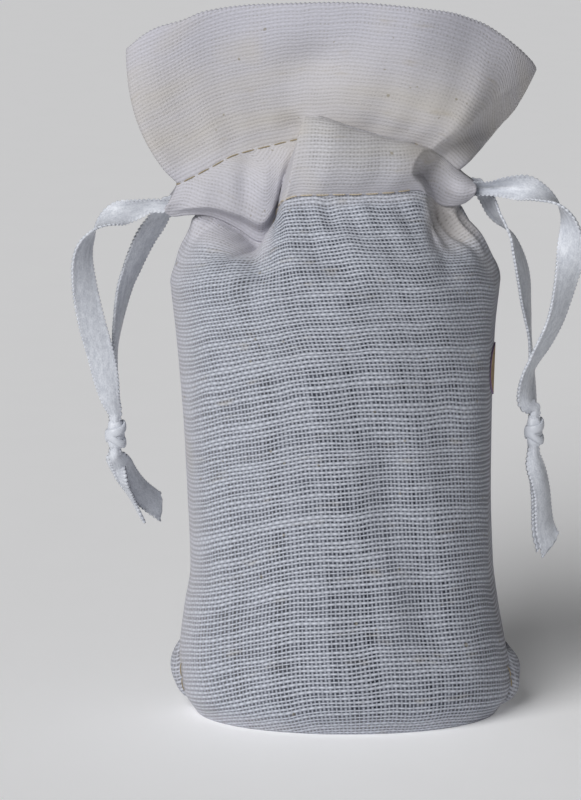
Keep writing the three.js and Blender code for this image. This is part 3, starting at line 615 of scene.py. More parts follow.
def on_cloth(grid, ring_place, row_place, stand):
    """A point on a ring of cloth, by its column and row, that stands off it along its normal."""
    columns = grid.shape[1]
    normals = grid_normals(grid, True)

    def read(values):
        column = np.floor(ring_place).astype(int)
        row = np.clip(np.floor(row_place).astype(int), 0, grid.shape[0] - 2)
        right = (ring_place - column)[..., None]
        up = (row_place - row)[..., None]
        here, after = column % columns, (column + 1) % columns
        low = values[row, here] * (1 - right) + values[row, after] * right
        high = values[row + 1, here] * (1 - right) + values[row + 1, after] * right
        return low * (1 - up) + high * up

    return read(grid) + read(normals) * np.asarray(stand)[..., None]


def wall_row_place(height):
    """The row of the pouch's grid at a height of its wall."""
    share = np.clip(np.asarray(height, float) / body_top, 0, 1) ** (1 / wall_row_growth)
    return base_rows + share * wall_rows


def thicken(piece, thickness):
    layer = piece.modifiers.new("cloth_thickness", "SOLIDIFY")
    layer.thickness = thickness * MM
    layer.offset = -1


def corner_ear(word, middle_column, foot, top, reach, half_width):
    across = np.linspace(-1, 1, ear_columns + 1)[None, :]
    tall = np.linspace(0, 1, ear_rows + 1)[:, None]
    hump = np.maximum(1 - across ** 2, 0) ** 0.7 * np.maximum(np.sin(np.pi * tall), 0) ** 0.6
    crumple = ear_crumple * np.cos(9 * tall + 4 * across) * hump
    lean = 1 - ear_lean * np.abs(tall - 0.45)
    column = middle_column + across * lean * half_width / half_girth * half_columns
    row = wall_row_place(foot + (top - foot) * tall) + 0 * across
    grid = on_cloth(pouch, column, row, ear_stand * hump ** 0.2 + reach * hump + crumple - ear_tuck)
    warp = np.broadcast_to(column / half_columns * threads_round / 2, grid.shape[:2])
    weft = lengths_along(grid) / THREAD_PITCH
    ear = cloth_piece(f"{word}_ear_flap", grid, np.stack([warp, weft], axis=-1), ear_cover)
    thicken(ear, ear_cloth_thickness)
    ear.data.materials.append(linen)
    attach(ear, "bag")
    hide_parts(f"{word}_corner_ear")


corner_ear("left", middle_column=0, foot=3.4, top=16.5, reach=2.0, half_width=5.2)
corner_ear("right", middle_column=half_columns, foot=1.5, top=15.0, reach=2.3, half_width=5.0)

# Lavender filling
# Loose dried buds, about six millimetres long, ribbed and pinched at the neck of each calyx.
# They fill the pouch up into its shoulder and lie in a low heap under the neck.
fill_inset = 1.3
fill_top_level = 1.15
fill_heap = 2.5
fill_row_step, fill_column_step = 3, 2
heap_shares, floor_shares = (0.2, 0.4, 0.6, 0.8, 0.95), (0.05, 0.5)
bud_length, bud_radius = 5.6, 1.0
bud_ribs, bud_rib_height, bud_sides = 4, 0.14, 8
bud_count, bud_clearance = 420, 0.62
bud_profile = [(-0.5, 0.25), (-0.42, 0.5), (-0.2, 0.86), (0.1, 1.0), (0.33, 0.8), (0.46, 0.5), (0.5, 0.2)]
bud_violet, bud_brown, bud_bloom = (0.05, 0.04, 0.12), (0.2, 0.175, 0.13), (0.24, 0.21, 0.24)


def tube_mesh(name, rings_list, closed_ends=True):
    """One mesh of many closed tubes; each tube is an array of rings of points."""
    points, faces, start = [], [], 0
    for rings in rings_list:
        count, around = rings.shape[:2]
        points.append(rings.reshape(-1, 3))
        row, column = np.meshgrid(np.arange(count - 1), np.arange(around), indexing="ij")
        after = (column + 1) % around
        quads = np.stack([
            row * around + column,
            row * around + after,
            (row + 1) * around + after,
            (row + 1) * around + column,
        ], axis=-1).reshape(-1, 4) + start
        faces.extend(quads.tolist())
        if closed_ends:
            faces.append(list(range(start + around - 1, start - 1, -1)))
            faces.append(list(range(start + (count - 1) * around, start + count * around)))
        start += count * around
    mesh = bpy.data.meshes.new(name)
    mesh.from_pydata((np.concatenate(points) * MM).tolist(), [], faces)
    mesh.shade_smooth()
    piece = bpy.data.objects.new(name, mesh)
    bpy.context.collection.objects.link(piece)
    return piece


def lavender_heap():
    """Rings of the filling from the floor to the shoulder, then in over its heap."""
    rows = np.flatnonzero((body_levels() >= 0) & (body_levels() <= fill_top_level))[::fill_row_step]
    inside = pouch - grid_normals(pouch, True) * fill_inset
    rings = [inside[row, ::fill_column_step].copy() for row in rows]
    for ring in rings:
        ring[:, 2] = np.maximum(ring[:, 2], fill_inset)
    top = rings[-1]
    middle = top.mean(axis=0)
    for share in heap_shares:
        drawn = top + (middle - top) * share
        drawn[:, 2] += fill_heap * math.sin(math.pi / 2 * share)
        rings.append(drawn)
    foot = rings[0]
    centre = foot.mean(axis=0)
    floor_rings = [centre + (foot - centre) * share for share in floor_shares]
    return np.array(floor_rings + rings), top, middle


def unit(vectors):
    return vectors / np.linalg.norm(vectors, axis=-1, keepdims=True)


def round_angles(count):
    """Angles at equal steps once round a ring."""
    return np.linspace(0, 2 * np.pi, count + 1)[:-1]


def bud_rings(place, along, roll, size):
    """One dried bud: a ribbed calyx, pinched at its foot and drawn to a blunt mouth."""
    along = unit(along)
    sideways = unit(np.cross(along, [0.3, 0.5, 0.81]))
    third = np.cross(along, sideways)
    angle = round_angles(bud_sides) + roll
    rib = 1 + bud_rib_height * np.cos(bud_ribs * (angle - roll))
    return np.array([
        place + along * share * bud_length * size
        + (np.cos(angle) * rib)[:, None] * sideways * bud_radius * width * size
        + (np.sin(angle) * rib)[:, None] * third * bud_radius * width * size
        for share, width in bud_profile
    ])


def lavender_finish():
    dried = Finish("dried_lavender")
    place = dried.position()
    mottle = dried.noise(place, 420.0, 3)
    shade = dried.noise(place, 150.0, 2)
    bud = dried.blend(shade.step(0.38, 0.62), paint(*bud_violet), paint(*bud_brown))
    dried.set(Base_Color=dried.blend(mottle.step(0.35, 0.75), bud, paint(*bud_bloom)), Roughness=0.9)
    dried.set(Normal=dried.bump(mottle, 0.0004, 0.7))
    return dried.material


heap, heap_edge, heap_middle = lavender_heap()
dried_lavender = lavender_finish()
lavender_fill = tube_mesh("lavender_heap", [heap])
shoulder_cloth = pouch[-shoulder_rows:].reshape(-1, 3)
rng = np.random.default_rng(11)
buds = []
for unused in range(bud_count):
    edge = heap_edge[rng.integers(len(heap_edge))]
    share = 0.12 + 0.88 * rng.uniform() ** 0.6
    place = edge + (heap_middle - edge) * share
    place[2] += fill_heap * math.sin(math.pi / 2 * share) + rng.uniform(-0.5, 0.9)
    along = np.array([rng.normal(), rng.normal(), 0.35 * rng.normal()])
    bud = bud_rings(place, along, rng.uniform(0, 3), rng.uniform(0.8, 1.1))
    if np.min(np.linalg.norm(shoulder_cloth - place, axis=1)) > bud_length * bud_clearance:
        buds.append(bud)
lavender_buds = tube_mesh("lavender_buds", buds)
for lavender in (lavender_fill, lavender_buds):
    lavender.data.materials.append(dried_lavender)
    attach(lavender, "bag")
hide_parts("lavender_fill")

# Drawstring casing
# A channel between two rows of stitches, front and back, where the cloth is doubled by its turned-down hem.
# The neck is drawn into a pleat that stands forward in front, and both ends are left open for the ribbons.
casing_columns, casing_rows = 340, 40
casing_cover, casing_open_weave, crease_height = 0.84, 0.24, 0.1
casing_flat, lining_flat = (0.1, 0.013), (0.075, 0.012)
casing_sewn_from, lining_sewn_from, sewn_span = 0.5, -0.5, 0.4
lining_columns, lining_rows, lining_cover = 160, 12, 0.62
lining_inset = 2.3
lining_left, lining_right = -29.5, 21.5
lining_low, lining_high = 0.04, 0.96
open_weave_rise, open_weave_fall = (-12, -6), (10, 18)
cloth_thickness = 0.6
neck_pitch = 0.83
tab_folds = [(1.8, (-17.2, 121), (2.6, 4.5)), (-1.2, (-21.5, 121), (2.2, 7)), (1.2, (25.5, 119), (2.6, 3))]
left_tip = course_through([(0, -37.9), (0.12, -39.0), (0.3, -39.2), (0.6, -38.2), (1, -36.6)])
right_tip = course_through([(0, 26.6), (0.2, 28.2), (0.5, 29.0), (0.8, 28.4), (1, 25.6)])


def casing_row(side, level, shares, inset, left, right):
    across = np.linspace(left, right, casing_samples)
    return by_length(casing_at(side, across, level, inset), shares)


def casing_grid(side, levels, columns, inset, left, right, sewn_from):
    """Rows of the casing whose ends, left and right, are read by level, and which are sewn shut high up."""
    shares = np.linspace(0, 1, columns + 1)
    rows = []
    for level in levels:
        row = casing_row(side, level, shares, inset, left(level), right(level))
        sewn = smooth_step(sewn_from, sewn_from + sewn_span, level)
        row[:, 1] *= 1 - sewn * (1 - seam_rounding(row[:, 0], left(level), right(level)))
        rows.append(row)
    return np.array(rows)


def flat_threads(grid, pitch=THREAD_PITCH):
    """Thread counts over an open grid, by length across its middle row and up each column."""
    warp = lengths_along(grid[len(grid) // 2]) / pitch
    weft = lengths_along(grid) / pitch
    return np.stack([np.broadcast_to(warp, weft.shape), weft], axis=-1)


def facing(grid, side):
    """Columns run so that the cloth faces out of the pouch."""
    return grid if side == FRONT else grid[:, ::-1]


SIDES = ((FRONT, "front"), (BACK, "back"))
casing_grids = {}
for side, word in SIDES:
    levels = np.linspace(0.0, 1.0, casing_rows + 1)
    grid = casing_grid(side, levels, casing_columns, 0, left_tip, right_tip, casing_sewn_from)
    grid = facing(grid, side)
    round_share = np.linspace(0, 1, casing_columns + 1)[None, :]
    crease = crease_height * ripples(21 + side, round_share, levels[:, None], (3, 11), (0, 0.8), 12)
    if side == FRONT:
        for high, middle, reach in tab_folds:
            crease = crease + high * mound(grid[:, :, 0], grid[:, :, 2], middle, reach)
    crease = crease * np.sin(np.pi * levels)[:, None] ** 0.5
    grid = grid + grid_normals(grid, False) * crease[:, :, None]
    casing_grids[side] = grid
    opened = np.sin(np.pi * levels)[:, None]
    opened = opened * rise_and_fall(open_weave_rise, open_weave_fall, grid[:, :, 0])
    cover = casing_cover - casing_open_weave * opened
    casing = cloth_piece(f"{word}_casing_cloth", grid, flat_threads(grid, neck_pitch), cover)
    thicken(casing, cloth_thickness)
    lining_levels = np.linspace(lining_low, lining_high, lining_rows)
    lining_ends = (lambda level: lining_left, lambda level: lining_right)
    lining_grid = casing_grid(
        side, lining_levels, lining_columns, lining_inset, *lining_ends, lining_sewn_from,
    )
    lining_grid = facing(lining_grid, side)
    lining = cloth_piece(f"{word}_lining_cloth", lining_grid, flat_threads(lining_grid), lining_cover)
    thicken(lining, cloth_thickness)
    sewn_pieces = (
        (casing, f"{word}_casing", casing_flat),
        (lining, f"{word}_casing_lining", lining_flat),
    )
    for piece, node, flat in sewn_pieces:
        piece.data.materials.append(linen)
        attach(piece, "bag")
        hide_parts(node)

# Frill
# The cloth above the casing, doubled and folded over at its rim, so that no raw edge shows.
# It flares as it leaves the gathers, flattened front to back, and its right side turns away in shade.
frill_foot_left, frill_foot_right = -36.6, 25.4
rim_left, rim_right = -48.0, 42.4
rim_course = [
    (-48, 149.0), (-42, 153.4), (-35, 155.7), (-30, 157.6), (-18, 159.2), (4, 159.6), (21.7, 157.6),
    (29.7, 154.9), (33.5, 152.7), (38.5, 148.4), (41.6, 145.0), (42.4, 143.6),
]
rim_half_depth, rim_back_drop, rim_squareness = 6.5, 3.0, 3
flare_left, flare_right = 29, 44
rim_flare_left, rim_flare_right = 0, 13
flare_rise, rim_rise = 30, 26
frill_half_columns, frill_rows = 400, 44
rim_samples, rim_roll_steps = 801, 7
frill_thickness = 1.5
frill_threads_round, frill_cover = 236, 0.92
fold_fade, fold_fade_level = 48, 0.24
frill_turn, frill_turn_from = 0.0133, 13
rim_swell, rim_swell_middle, rim_swell_reach = 2.6, 6, 18
rim_bump = 0.15
gather_spread, wave_spread = 0.2, 0.3
dent_depth, dent_middle, dent_reach = 1.6, (-7, 147.5), (7, 4.5)
ridge_height, ridge_reach_left, ridge_reach_right = 1.6, 10, 4.6
fold_round, fold_slope, fold_depth, fold_reach, back_fold_less = 2, 0.55, 6.5, 5, 0.3
rim_height = course_through(rim_course)


def rim_row(side, shares):
    angle = np.pi * (1 - np.linspace(0, 1, rim_samples))
    reach = np.sign(np.cos(angle)) * np.abs(np.cos(angle)) ** (2 / rim_squareness)
    across = (rim_left + rim_right) / 2 + (rim_right - rim_left) / 2 * reach
    deep = np.maximum(np.sin(angle), 0) ** (2 / rim_squareness)
    drop = rim_back_drop * deep if side == BACK else 0
    swell = rim_swell * np.exp(-((across - rim_swell_middle) / rim_swell_reach) ** 2) if side == FRONT else 0
    points = np.stack([across, side * (rim_half_depth + swell) * deep, rim_height(across) - drop], axis=1)
    return by_length(points, shares)


def frill_outside():
    foot = whole_ring(
        lambda side, shares: sewn_row(side, 1, frill_foot_left, frill_foot_right, shares), frill_half_columns,
    )
    rim = whole_ring(rim_row, frill_half_columns)
    share = np.linspace(0, 1, frill_half_columns + 1)
    sideways = 2 * np.concatenate([share, share[::-1][1:-1]]) - 1
    leave = np.zeros_like(foot)
    leave[:, 0] = np.where(sideways < 0, flare_left, flare_right) * sideways
    leave[:, 2] = flare_rise
    arrive = np.zeros_like(foot)
    arrive[:, 0] = np.where(sideways < 0, rim_flare_left, rim_flare_right) * sideways
    arrive[:, 2] = rim_rise
    shifts = range(-fold_fade, fold_fade + 1)
    spread_foot = sum(np.roll(foot, shift, axis=0) for shift in shifts) / len(shifts)
    from_ends = np.minimum(foot[:, 0] - frill_foot_left, frill_foot_right - foot[:, 0])
    smoothed = (spread_foot - foot) * smooth_step(4, 14, from_ends)[:, None]
    return np.array([
        hermite(foot + smoothed * smooth_step(0, fold_fade_level, level), leave, rim, arrive, level)
        for level in np.linspace(0, 1, frill_rows + 1)
    ])


frill = frill_outside()
up = np.linspace(0, 1, frill_rows + 1)[:, None]
round_share = (np.arange(2 * frill_half_columns) / (2 * frill_half_columns))[None, :]
in_front = rise_and_fall((0, 0.03), (0.42, 0.49), round_share)
turned_back = frill_turn * np.maximum(frill[:, :, 0] - frill_turn_from, 0) ** 2
frill[:, :, 1] += turned_back * smooth_step(0, 0.4, up)
spread = gather_spread * ripples(31, round_share, up, (9, 26), (0, 0.5), 16) * (0.12 + 0.88 * (1 - up) ** 1.6)
spread = spread + wave_spread * ripples(33, round_share, up, (2, 7), (0, 0.8), 8)
spread = spread * smooth_step(0, 0.12, up)
dent = -dent_depth * mound(frill[:, :, 0], frill[:, :, 2], dent_middle, dent_reach) * in_front
ridge_line = course_through([
    (126, 16.8), (128.2, 18.4), (134.3, 25.8), (139.6, 35), (145, 46), (152, 60), (170, 96),
])
past_ridge = frill[:, :, 0] - ridge_line(frill[:, :, 2])
ridge_lean = ridge_line(frill[:, :, 2] + 0.5) - ridge_line(frill[:, :, 2] - 0.5)
past_ridge = past_ridge / np.sqrt(1 + ridge_lean ** 2)
under_ridge = np.maximum(past_ridge, 0)
folded_away = under_ridge ** 2 / (under_ridge + fold_round)
folded_away = fold_slope * folded_away + fold_depth * (1 - np.exp(-folded_away / fold_reach))
folded_away = folded_away * (1 - back_fold_less * smooth_step(0.5, 0.58, round_share))
frill[:, :, 1] += folded_away * smooth_step(0, 0.28, up)
ridge_reach = np.where(past_ridge < 0, ridge_reach_left, ridge_reach_right)
ridge = ridge_height * np.exp(-(past_ridge / ridge_reach) ** 2) * smooth_step(0.02, 0.22, up)
ridge = ridge * (1 - 0.6 * smooth_step(0.5, 1, up))
frill = frill + grid_normals(frill, True) * (spread + dent + ridge * in_front)[:, :, None]
frill_inside = frill - grid_normals(frill, True) * frill_thickness
rim_out, rim_in = frill[-1], frill_inside[-1]
rim_middle = (rim_out + rim_in) / 2
rim_rows = []
for angle in np.linspace(0, np.pi, rim_roll_steps)[1:-1]:
    rolled = rim_middle + (rim_out - rim_middle) * math.cos(angle)
    rolled[:, 2] += frill_thickness / 2 * math.sin(angle)
    rim_rows.append(rolled)
thread_bumps = rim_bump * np.cos(np.arange(2 * frill_half_columns) * np.pi / 2)
for rolled in rim_rows:
    rolled[:, 2] += thread_bumps
frill_sheet = np.concatenate([frill, np.array(rim_rows), frill_inside[::-1][::2]])
frill_threads = ring_threads(frill_sheet, frill_threads_round, neck_pitch)
frill_piece = cloth_piece("frill", frill_sheet, frill_threads, frill_cover, ring=True)
frill_piece.data.materials.append(linen)
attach(frill_piece, "bag")
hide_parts("front_frill", "back_frill")

# Stitching
# Cotton thread, pale beige along the lower line and ochre along the upper one, in stitches of about 3.5 mm.
# Each stitch lies on the cloth and dips into it at both ends.
stitch_length, stitch_gap = 3.4, 0.2
thread_radius, thread_sides = 0.14, 7
thread_swell = np.array([0.35, 0.8, 1, 1, 1, 1, 1, 0.8, 0.35])
thread_lift = np.array([-0.25, 0.02, 0.09, 0.12, 0.13, 0.12, 0.09, 0.02, -0.25])
upper_stitch_end = 17
lower_stitch_start, lower_stitch_end = -16.5, 17.5
ear_stitch_low, ear_stitch_high, ear_stitch_stand, ear_stitch_samples = 5.5, 12.5, 0.3, 60


def stitch_middles(line):
    """A line on the cloth cut into stitches, each as points along its middle."""
    whole = lengths_along(line)[-1]
    made = []
    start = stitch_gap
    while start + stitch_length < whole:
        made.append(at_lengths(line, start + stitch_length * np.linspace(0, 1, len(thread_lift))))
        start += stitch_length + stitch_gap
    return made


def thread_tubes(lines, outwards_of):
    """A tube of thread for each stitch, which lies on the cloth and dips into it at both ends."""
    tubes = []
    angle = round_angles(thread_sides)
    for middle in lines:
        outwards = outwards_of(middle)
        along = unit(np.gradient(middle, axis=0))
        beside = unit(np.cross(along, outwards))
        square = np.cross(beside, along)
        lifted = middle + square * thread_lift[:, None]
        reach = thread_radius * thread_swell[:, None, None]
        sideways = np.cos(angle)[None, :, None] * beside[:, None, :]
        upwards = np.sin(angle)[None, :, None] * square[:, None, :]
        tubes.append(lifted[:, None, :] + reach * (sideways + upwards))
    return tubes


def thread_finish(name, colour, dark):
    cotton = Finish(name)
    place = cotton.position()
    slantwise = {"bands_direction": "DIAGONAL"}
    twist = cotton.node("ShaderNodeTexWave", slantwise, {"Vector": place, "Scale": 900.0})
    cotton.set(Base_Color=cotton.blend(twist * 0.5, colour, dark), Roughness=0.85)
    cotton.set(Normal=cotton.bump(twist, 0.00008, 0.5))
    return cotton.material


pale_thread = thread_finish("pale_thread", paint(0.55, 0.48, 0.37), paint(0.36, 0.29, 0.2))
ochre_thread = thread_finish("ochre_thread", paint(0.34, 0.28, 0.18), paint(0.25, 0.2, 0.12))


def sew(name, lines, outwards_of, thread):
    seam = tube_mesh(name, thread_tubes(lines, outwards_of))
    seam.data.materials.append(thread)
    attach(seam, "bag")
    return seam


for side, word in SIDES:
    grid = casing_grids[side]
    normals = grid_normals(grid, False)

    def casing_outwards(middle, grid=grid, normals=normals):
        flat = grid.reshape(-1, 3)
        nearest = [np.argmin(((flat - point) ** 2).sum(axis=1)) for point in middle]
        return normals.reshape(-1, 3)[nearest]

    upper_line = grid[-2][grid[-2][:, 0] < upper_stitch_end]
    lower_line = grid[1]
    if side == FRONT:
        across = lower_line[:, 0]
        lower_line = lower_line[(across > lower_stitch_start) & (across < lower_stitch_end)]
    sew(f"{word}_lower_stitches", stitch_middles(lower_line), casing_outwards, pale_thread)
    sew(f"{word}_upper_stitches", stitch_middles(upper_line), casing_outwards, ochre_thread)

ear_heights = np.linspace(ear_stitch_low, ear_stitch_high, ear_stitch_samples)
ear_seams = (("left", 12.0, 1.0, -0.75), ("right", half_columns - 10.5, -3.5, 0.75))
for word, column, lean, outwards in ear_seams:
    line_columns = column + lean * np.linspace(-1, 1, len(ear_heights))
    stand = np.full(len(ear_heights), ear_stitch_stand)
    line = on_cloth(pouch, line_columns, wall_row_place(ear_heights), stand)

    def ear_outwards(middle, outwards=outwards):
        return np.tile(np.array([outwards, -0.66, 0.0]), (len(middle), 1))

    sew(f"{word}_corner_stitches", stitch_middles(line), ear_outwards, ochre_thread)

# Ribbons inside the casing
# Each satin ribbon runs along the front channel, round the far end and back along the other channel.
# It lies flat between the outer cloth and the lining, and is seen only where the casing gapes.
ribbon_thickness = 0.4
ribbon_inset = 1.55
cased_columns, cased_rows, turn_columns = 120, 7, 14
cased_shift_from, cased_shift_to = 8, 20
# Painted shade and painted sheen: the satin's colour wanders between them in place of its glints.
satin_painted_shade, satin_painted_sheen = paint(0.5, 0.525, 0.585), paint(0.76, 0.785, 0.84)


def satin_finish():
    satin = Finish("white_satin")
    along = satin.layer("threads")
    down = satin.axis(along, 1)
    over = satin.axis(along, 0)
    lines = ((down * 6.0).part() - 0.5).size()
    cloudy = satin.noise(satin.pair(over * 1.3, down * 0.5), 1.0, 3)
    fine = satin.noise(satin.pair(over * 5, down * 2.2), 1.0, 2)
    # Painted sheen: cloudy and fine mottle between the painted shade and the painted sheen colours.
    shade = cloudy * 0.5 + fine * 0.5
    colour = satin.blend(shade.step(0.3, 0.7), satin_painted_shade, satin_painted_sheen)
    satin.set(Base_Color=colour, Roughness=0.26 + fine * 0.3, Specular_IOR_Level=0.55)
    satin.set(Normal=satin.bump(lines * 0.35 + fine * 0.65, 0.00012, 0.6))
    satin.set(Sheen_Weight=0.2, Sheen_Roughness=0.35)
    return satin.material


white_satin = satin_finish()


def cased_band(share_at_right, middle, at_right):
    return middle + (at_right - middle) * share_at_right


def cased_ribbon(word, near_end, far_end, low, high, low_right, high_right):
    outwards = math.copysign(1, far_end - near_end)
    shares = np.linspace(0, 1, cased_columns)
    across = near_end + (far_end - near_end) * shares
    rows = []
    for part in np.linspace(0, 1, cased_rows):
        runs = {}
        for side in (FRONT, BACK):
            shift = smooth_step(cased_shift_from, cased_shift_to, across)
            bottom, top = cased_band(shift, low, low_right), cased_band(shift, high, high_right)
            runs[side] = casing_at(side, across, bottom + (top - bottom) * part, ribbon_inset)
        angle = np.linspace(0, np.pi, turn_columns)[1:-1]
        last = runs[FRONT][-1]
        turn = np.stack([
            last[0] + outwards * (tab_half_thickness - ribbon_inset) * np.sin(angle),
            -(tab_half_thickness - ribbon_inset) * np.cos(angle),
            np.full(len(angle), last[2]),
        ], axis=1)
        rows.append(np.concatenate([runs[FRONT], turn, runs[BACK][::-1]]))
    grid = np.array(rows)
    if outwards < 0:
        grid = grid[:, ::-1]
    band = cloth_piece(f"{word}_cased_ribbon", grid, flat_threads(grid), 0)
    thicken(band, ribbon_thickness)
    band.data.materials.append(white_satin)
    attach(band, "bag")
    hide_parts(f"{word}_ribbon_in_casing")


cased_ribbon("left", near_end=-32.1, far_end=23.1, low=0.06, high=0.37, low_right=0.06, high_right=0.22)
cased_ribbon("right", near_end=21.8, far_end=-29.8, low=0.43, high=0.70, low_right=0.28, high_right=0.53)

# Free ribbons
# White satin ribbon 6 mm wide with a looped edge, two lengths out of each end of the casing.
# Each pair hangs in a loop, is tied together in one overhand knot and ends in two slanting cuts.
ribbon_width = 5.7
lead_depth, lead_width = 2.15, 3.0
pivot_width = 2.4
tie_spacing, tie_width, tie_straight = 0.9, 2.4, 1.2
seat_gap = 0.3
strip_step = 0.155
lead_points, knot_points = 30, 20
strip_spots = np.array([-1, -0.93, -0.8, -0.55, -0.28, 0, 0.28, 0.55, 0.8, 0.93, 1])
edge_beads = np.array([1.35, 1.5, 0.8, 0.8, 0.8, 0.8, 0.8, 0.8, 0.8, 1.5, 1.35])
picot_pitch, picot_reach = 0.93, 0.34
cut_reach, cut_raggedness = 5, 0.35
cup_middle, groove_middle = 0.4, 0.5
groove_rise, groove_fall = (0, 4), (10, 24)
left_knot = {"across": -50.7, "height": 63.2, "half_width": 2.4, "half_depth": 2.2, "half_height": 3.3}
right_knot = {"across": 42.6, "height": 63.9, "half_width": 2.2, "half_depth": 2.2, "half_height": 3.6}
knot_columns, knot_rows = 48, 15
knot_core_least, knot_core_barrel, knot_dimple = 0.5, 0.36, 0.12
band_sides, band_tightness, band_half_thickness = 14, 0.84, 0.42
band_wave, band_pinch = 0.25, 0.25
knot_turns = ((0.5, 0.7, 1.35), (-0.45, -1.0, 1.2))


def rounded_route(points, step=0.25):
    """A centripetal curve through a route's points, as close points along it."""
    points = np.array(points, float)
    before = 2 * points[0] - points[1]
    after = 2 * points[-1] - points[-2]
    points = np.concatenate([[before], points, [after]])
    made = []
    for index in range(1, len(points) - 2):
        p0, p1, p2, p3 = points[index - 1:index + 3]
        t1 = np.linalg.norm(p1 - p0) ** 0.5
        t2 = t1 + np.linalg.norm(p2 - p1) ** 0.5
        t3 = t2 + np.linalg.norm(p3 - p2) ** 0.5
        count = max(int(np.linalg.norm(p2 - p1) / step), 2)
        t = np.linspace(t1, t2, count, endpoint=False)[:, None]
        a1 = (t1 - t) / t1 * p0 + t / t1 * p1
        a2 = (t2 - t) / (t2 - t1) * p1 + (t - t1) / (t2 - t1) * p2
        a3 = (t3 - t) / (t3 - t2) * p2 + (t - t2) / (t3 - t2) * p3
        b1 = (t2 - t) / t2 * a1 + t / t2 * a2
        b2 = (t3 - t) / (t3 - t1) * a2 + (t - t1) / (t3 - t1) * a3
        made.append((t2 - t) / (t2 - t1) * b1 + (t - t1) / (t2 - t1) * b2)
    made.append(points[-2][None, :])
    return np.concatenate(made)


def length_of(points):
    return float(lengths_along(points)[-1])


def free_ribbon(word, place, ribbon):
    """One ribbon end: out of the casing, down its strand, through the knot and on to its cut."""
    side = FRONT if place == "front" else BACK
    outwards, exit_height, knot = (ribbon[key] for key in ("outwards", "exit", "knot"))
    leave = ribbon["leaves"][place]
    inside = [ribbon["lead_inside"], side * lead_depth, exit_height]
    knot_top = knot["height"] + knot["half_height"] + seat_gap
    knot_foot = knot["height"] - knot["half_height"] - seat_gap
    strand = rounded_route([
        [leave - outwards * pivot_width / 2, side * lead_depth, exit_height],
        [leave, side * lead_depth, exit_height],
        *ribbon["routes"][place],
        [knot["across"], side * tie_spacing, knot_top + tie_straight],
        [knot["across"], side * tie_spacing, knot_top],
    ])
    tail = rounded_route([
        [knot["across"], side * tie_spacing, knot_foot],
        [knot["across"], side * tie_spacing, knot_foot - tie_straight],
        *ribbon["tails"][place],
    ])
    lead = np.linspace(inside, strand[0], lead_points, endpoint=False)
    through = np.linspace(strand[-1], tail[0], knot_points)[1:-1]
    line = np.concatenate([lead, strand, through, tail])
    lead_length = length_of(np.concatenate([lead, strand[:1]]))
    strand_length = length_of(strand)
    knot_length = float(np.linalg.norm(tail[0] - strand[-1]))
    whole = length_of(line)
    count = int(whole / strip_step)
    middle = by_length(line, np.linspace(0, 1, count + 1))
    distance = np.linspace(0, whole, count + 1)
    strand_end = lead_length + strand_length
    tail_from = strand_end + knot_length
    on_strand = np.clip((distance - lead_length) / strand_length, 0, 1)
    on_tail = np.clip((distance - tail_from) / (whole - tail_from), 0, 1)
    turn = course_through(ribbon["turns"][place])(on_strand)
    tail_turn = course_through(ribbon["tail_turns"][place])(on_tail)
    turn = np.where(distance < strand_end + knot_length / 2, turn, tail_turn + ribbon["turns"][place][-1][1])
    widths = course_through([
        (0, lead_width), (lead_length + 1.2, lead_width), (lead_length + 4, 4.2),
        (lead_length + 9, ribbon_width), (lead_length + 15, ribbon_width),
        (strand_end - 12, ribbon_width), (strand_end - 3, 3.6), (strand_end, tie_width),
        (tail_from, tie_width), (tail_from + 4, 4.4), (tail_from + 8, 5.3), (whole, ribbon_width),
    ])(distance)
    along = unit(np.gradient(middle, axis=0))
    flat_wise = unit(np.cross(along, [0, 1, 0]))
    angle = np.radians(turn)[:, None]
    across = flat_wise * np.cos(angle) + np.cross(along, flat_wise) * np.sin(angle)
    square = np.cross(along, across)
    picot = picot_reach * np.abs(np.cos(np.pi * distance / picot_pitch)) - picot_reach / 2
    cup = course_through([
        (0, 0.1), (lead_length + 8, 0.25), (strand_end - 14, 0.35),
        (strand_end, 0.9), (tail_from + 2, 1.1), (whole, 0.5),
    ])(distance) * ribbon["cups"][place]
    groove = ribbon["grooves"][place] * rise_and_fall(groove_rise, groove_fall, distance)
    beaded = edge_beads * ribbon_thickness / 2
    rng = np.random.default_rng(40 + len(word) + side)
    ragged = rng.uniform(-cut_raggedness, cut_raggedness, len(strip_spots))
    near_cut = smooth_step(whole - cut_reach, whole, distance)
    rows = []
    columns = range(len(strip_spots))
    for face, order in ((1, columns), (-1, columns[::-1])):
        for column in order:
            spot = strip_spots[column]
            half = widths / 2 + picot * (abs(spot) > 0.9)
            slant = (ribbon["cuts"][place] * spot / 2 + ragged[column]) * near_cut
            hollow = cup * (spot * spot - cup_middle) + groove * (abs(spot) - groove_middle)
            stand = hollow + face * beaded[column]
            rows.append(
                middle + across * (half * spot)[:, None] + square * stand[:, None] + along * slant[:, None]
            )
    rings = np.stack(rows, axis=1)
    strip = tube_mesh(f"{word}_{place}_ribbon", [rings])
    widths_uv = np.concatenate([strip_spots, strip_spots[::-1]])
    corner = np.empty(len(strip.data.loops), np.int32)
    strip.data.loops.foreach_get("vertex_index", corner)
    around = len(widths_uv)
    laid = np.stack([widths_uv[corner % around] * 3 + 3, distance[corner // around]], axis=1)
    strip.data.uv_layers.new(name="threads").data.foreach_set("uv", laid.astype(np.float32).ravel())
    strip.data.materials.append(white_satin)
    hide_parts(f"{word}_{place}_lead", f"{word}_{place}_strand", f"{word}_{place}_tail")
    return strip, middle, whole


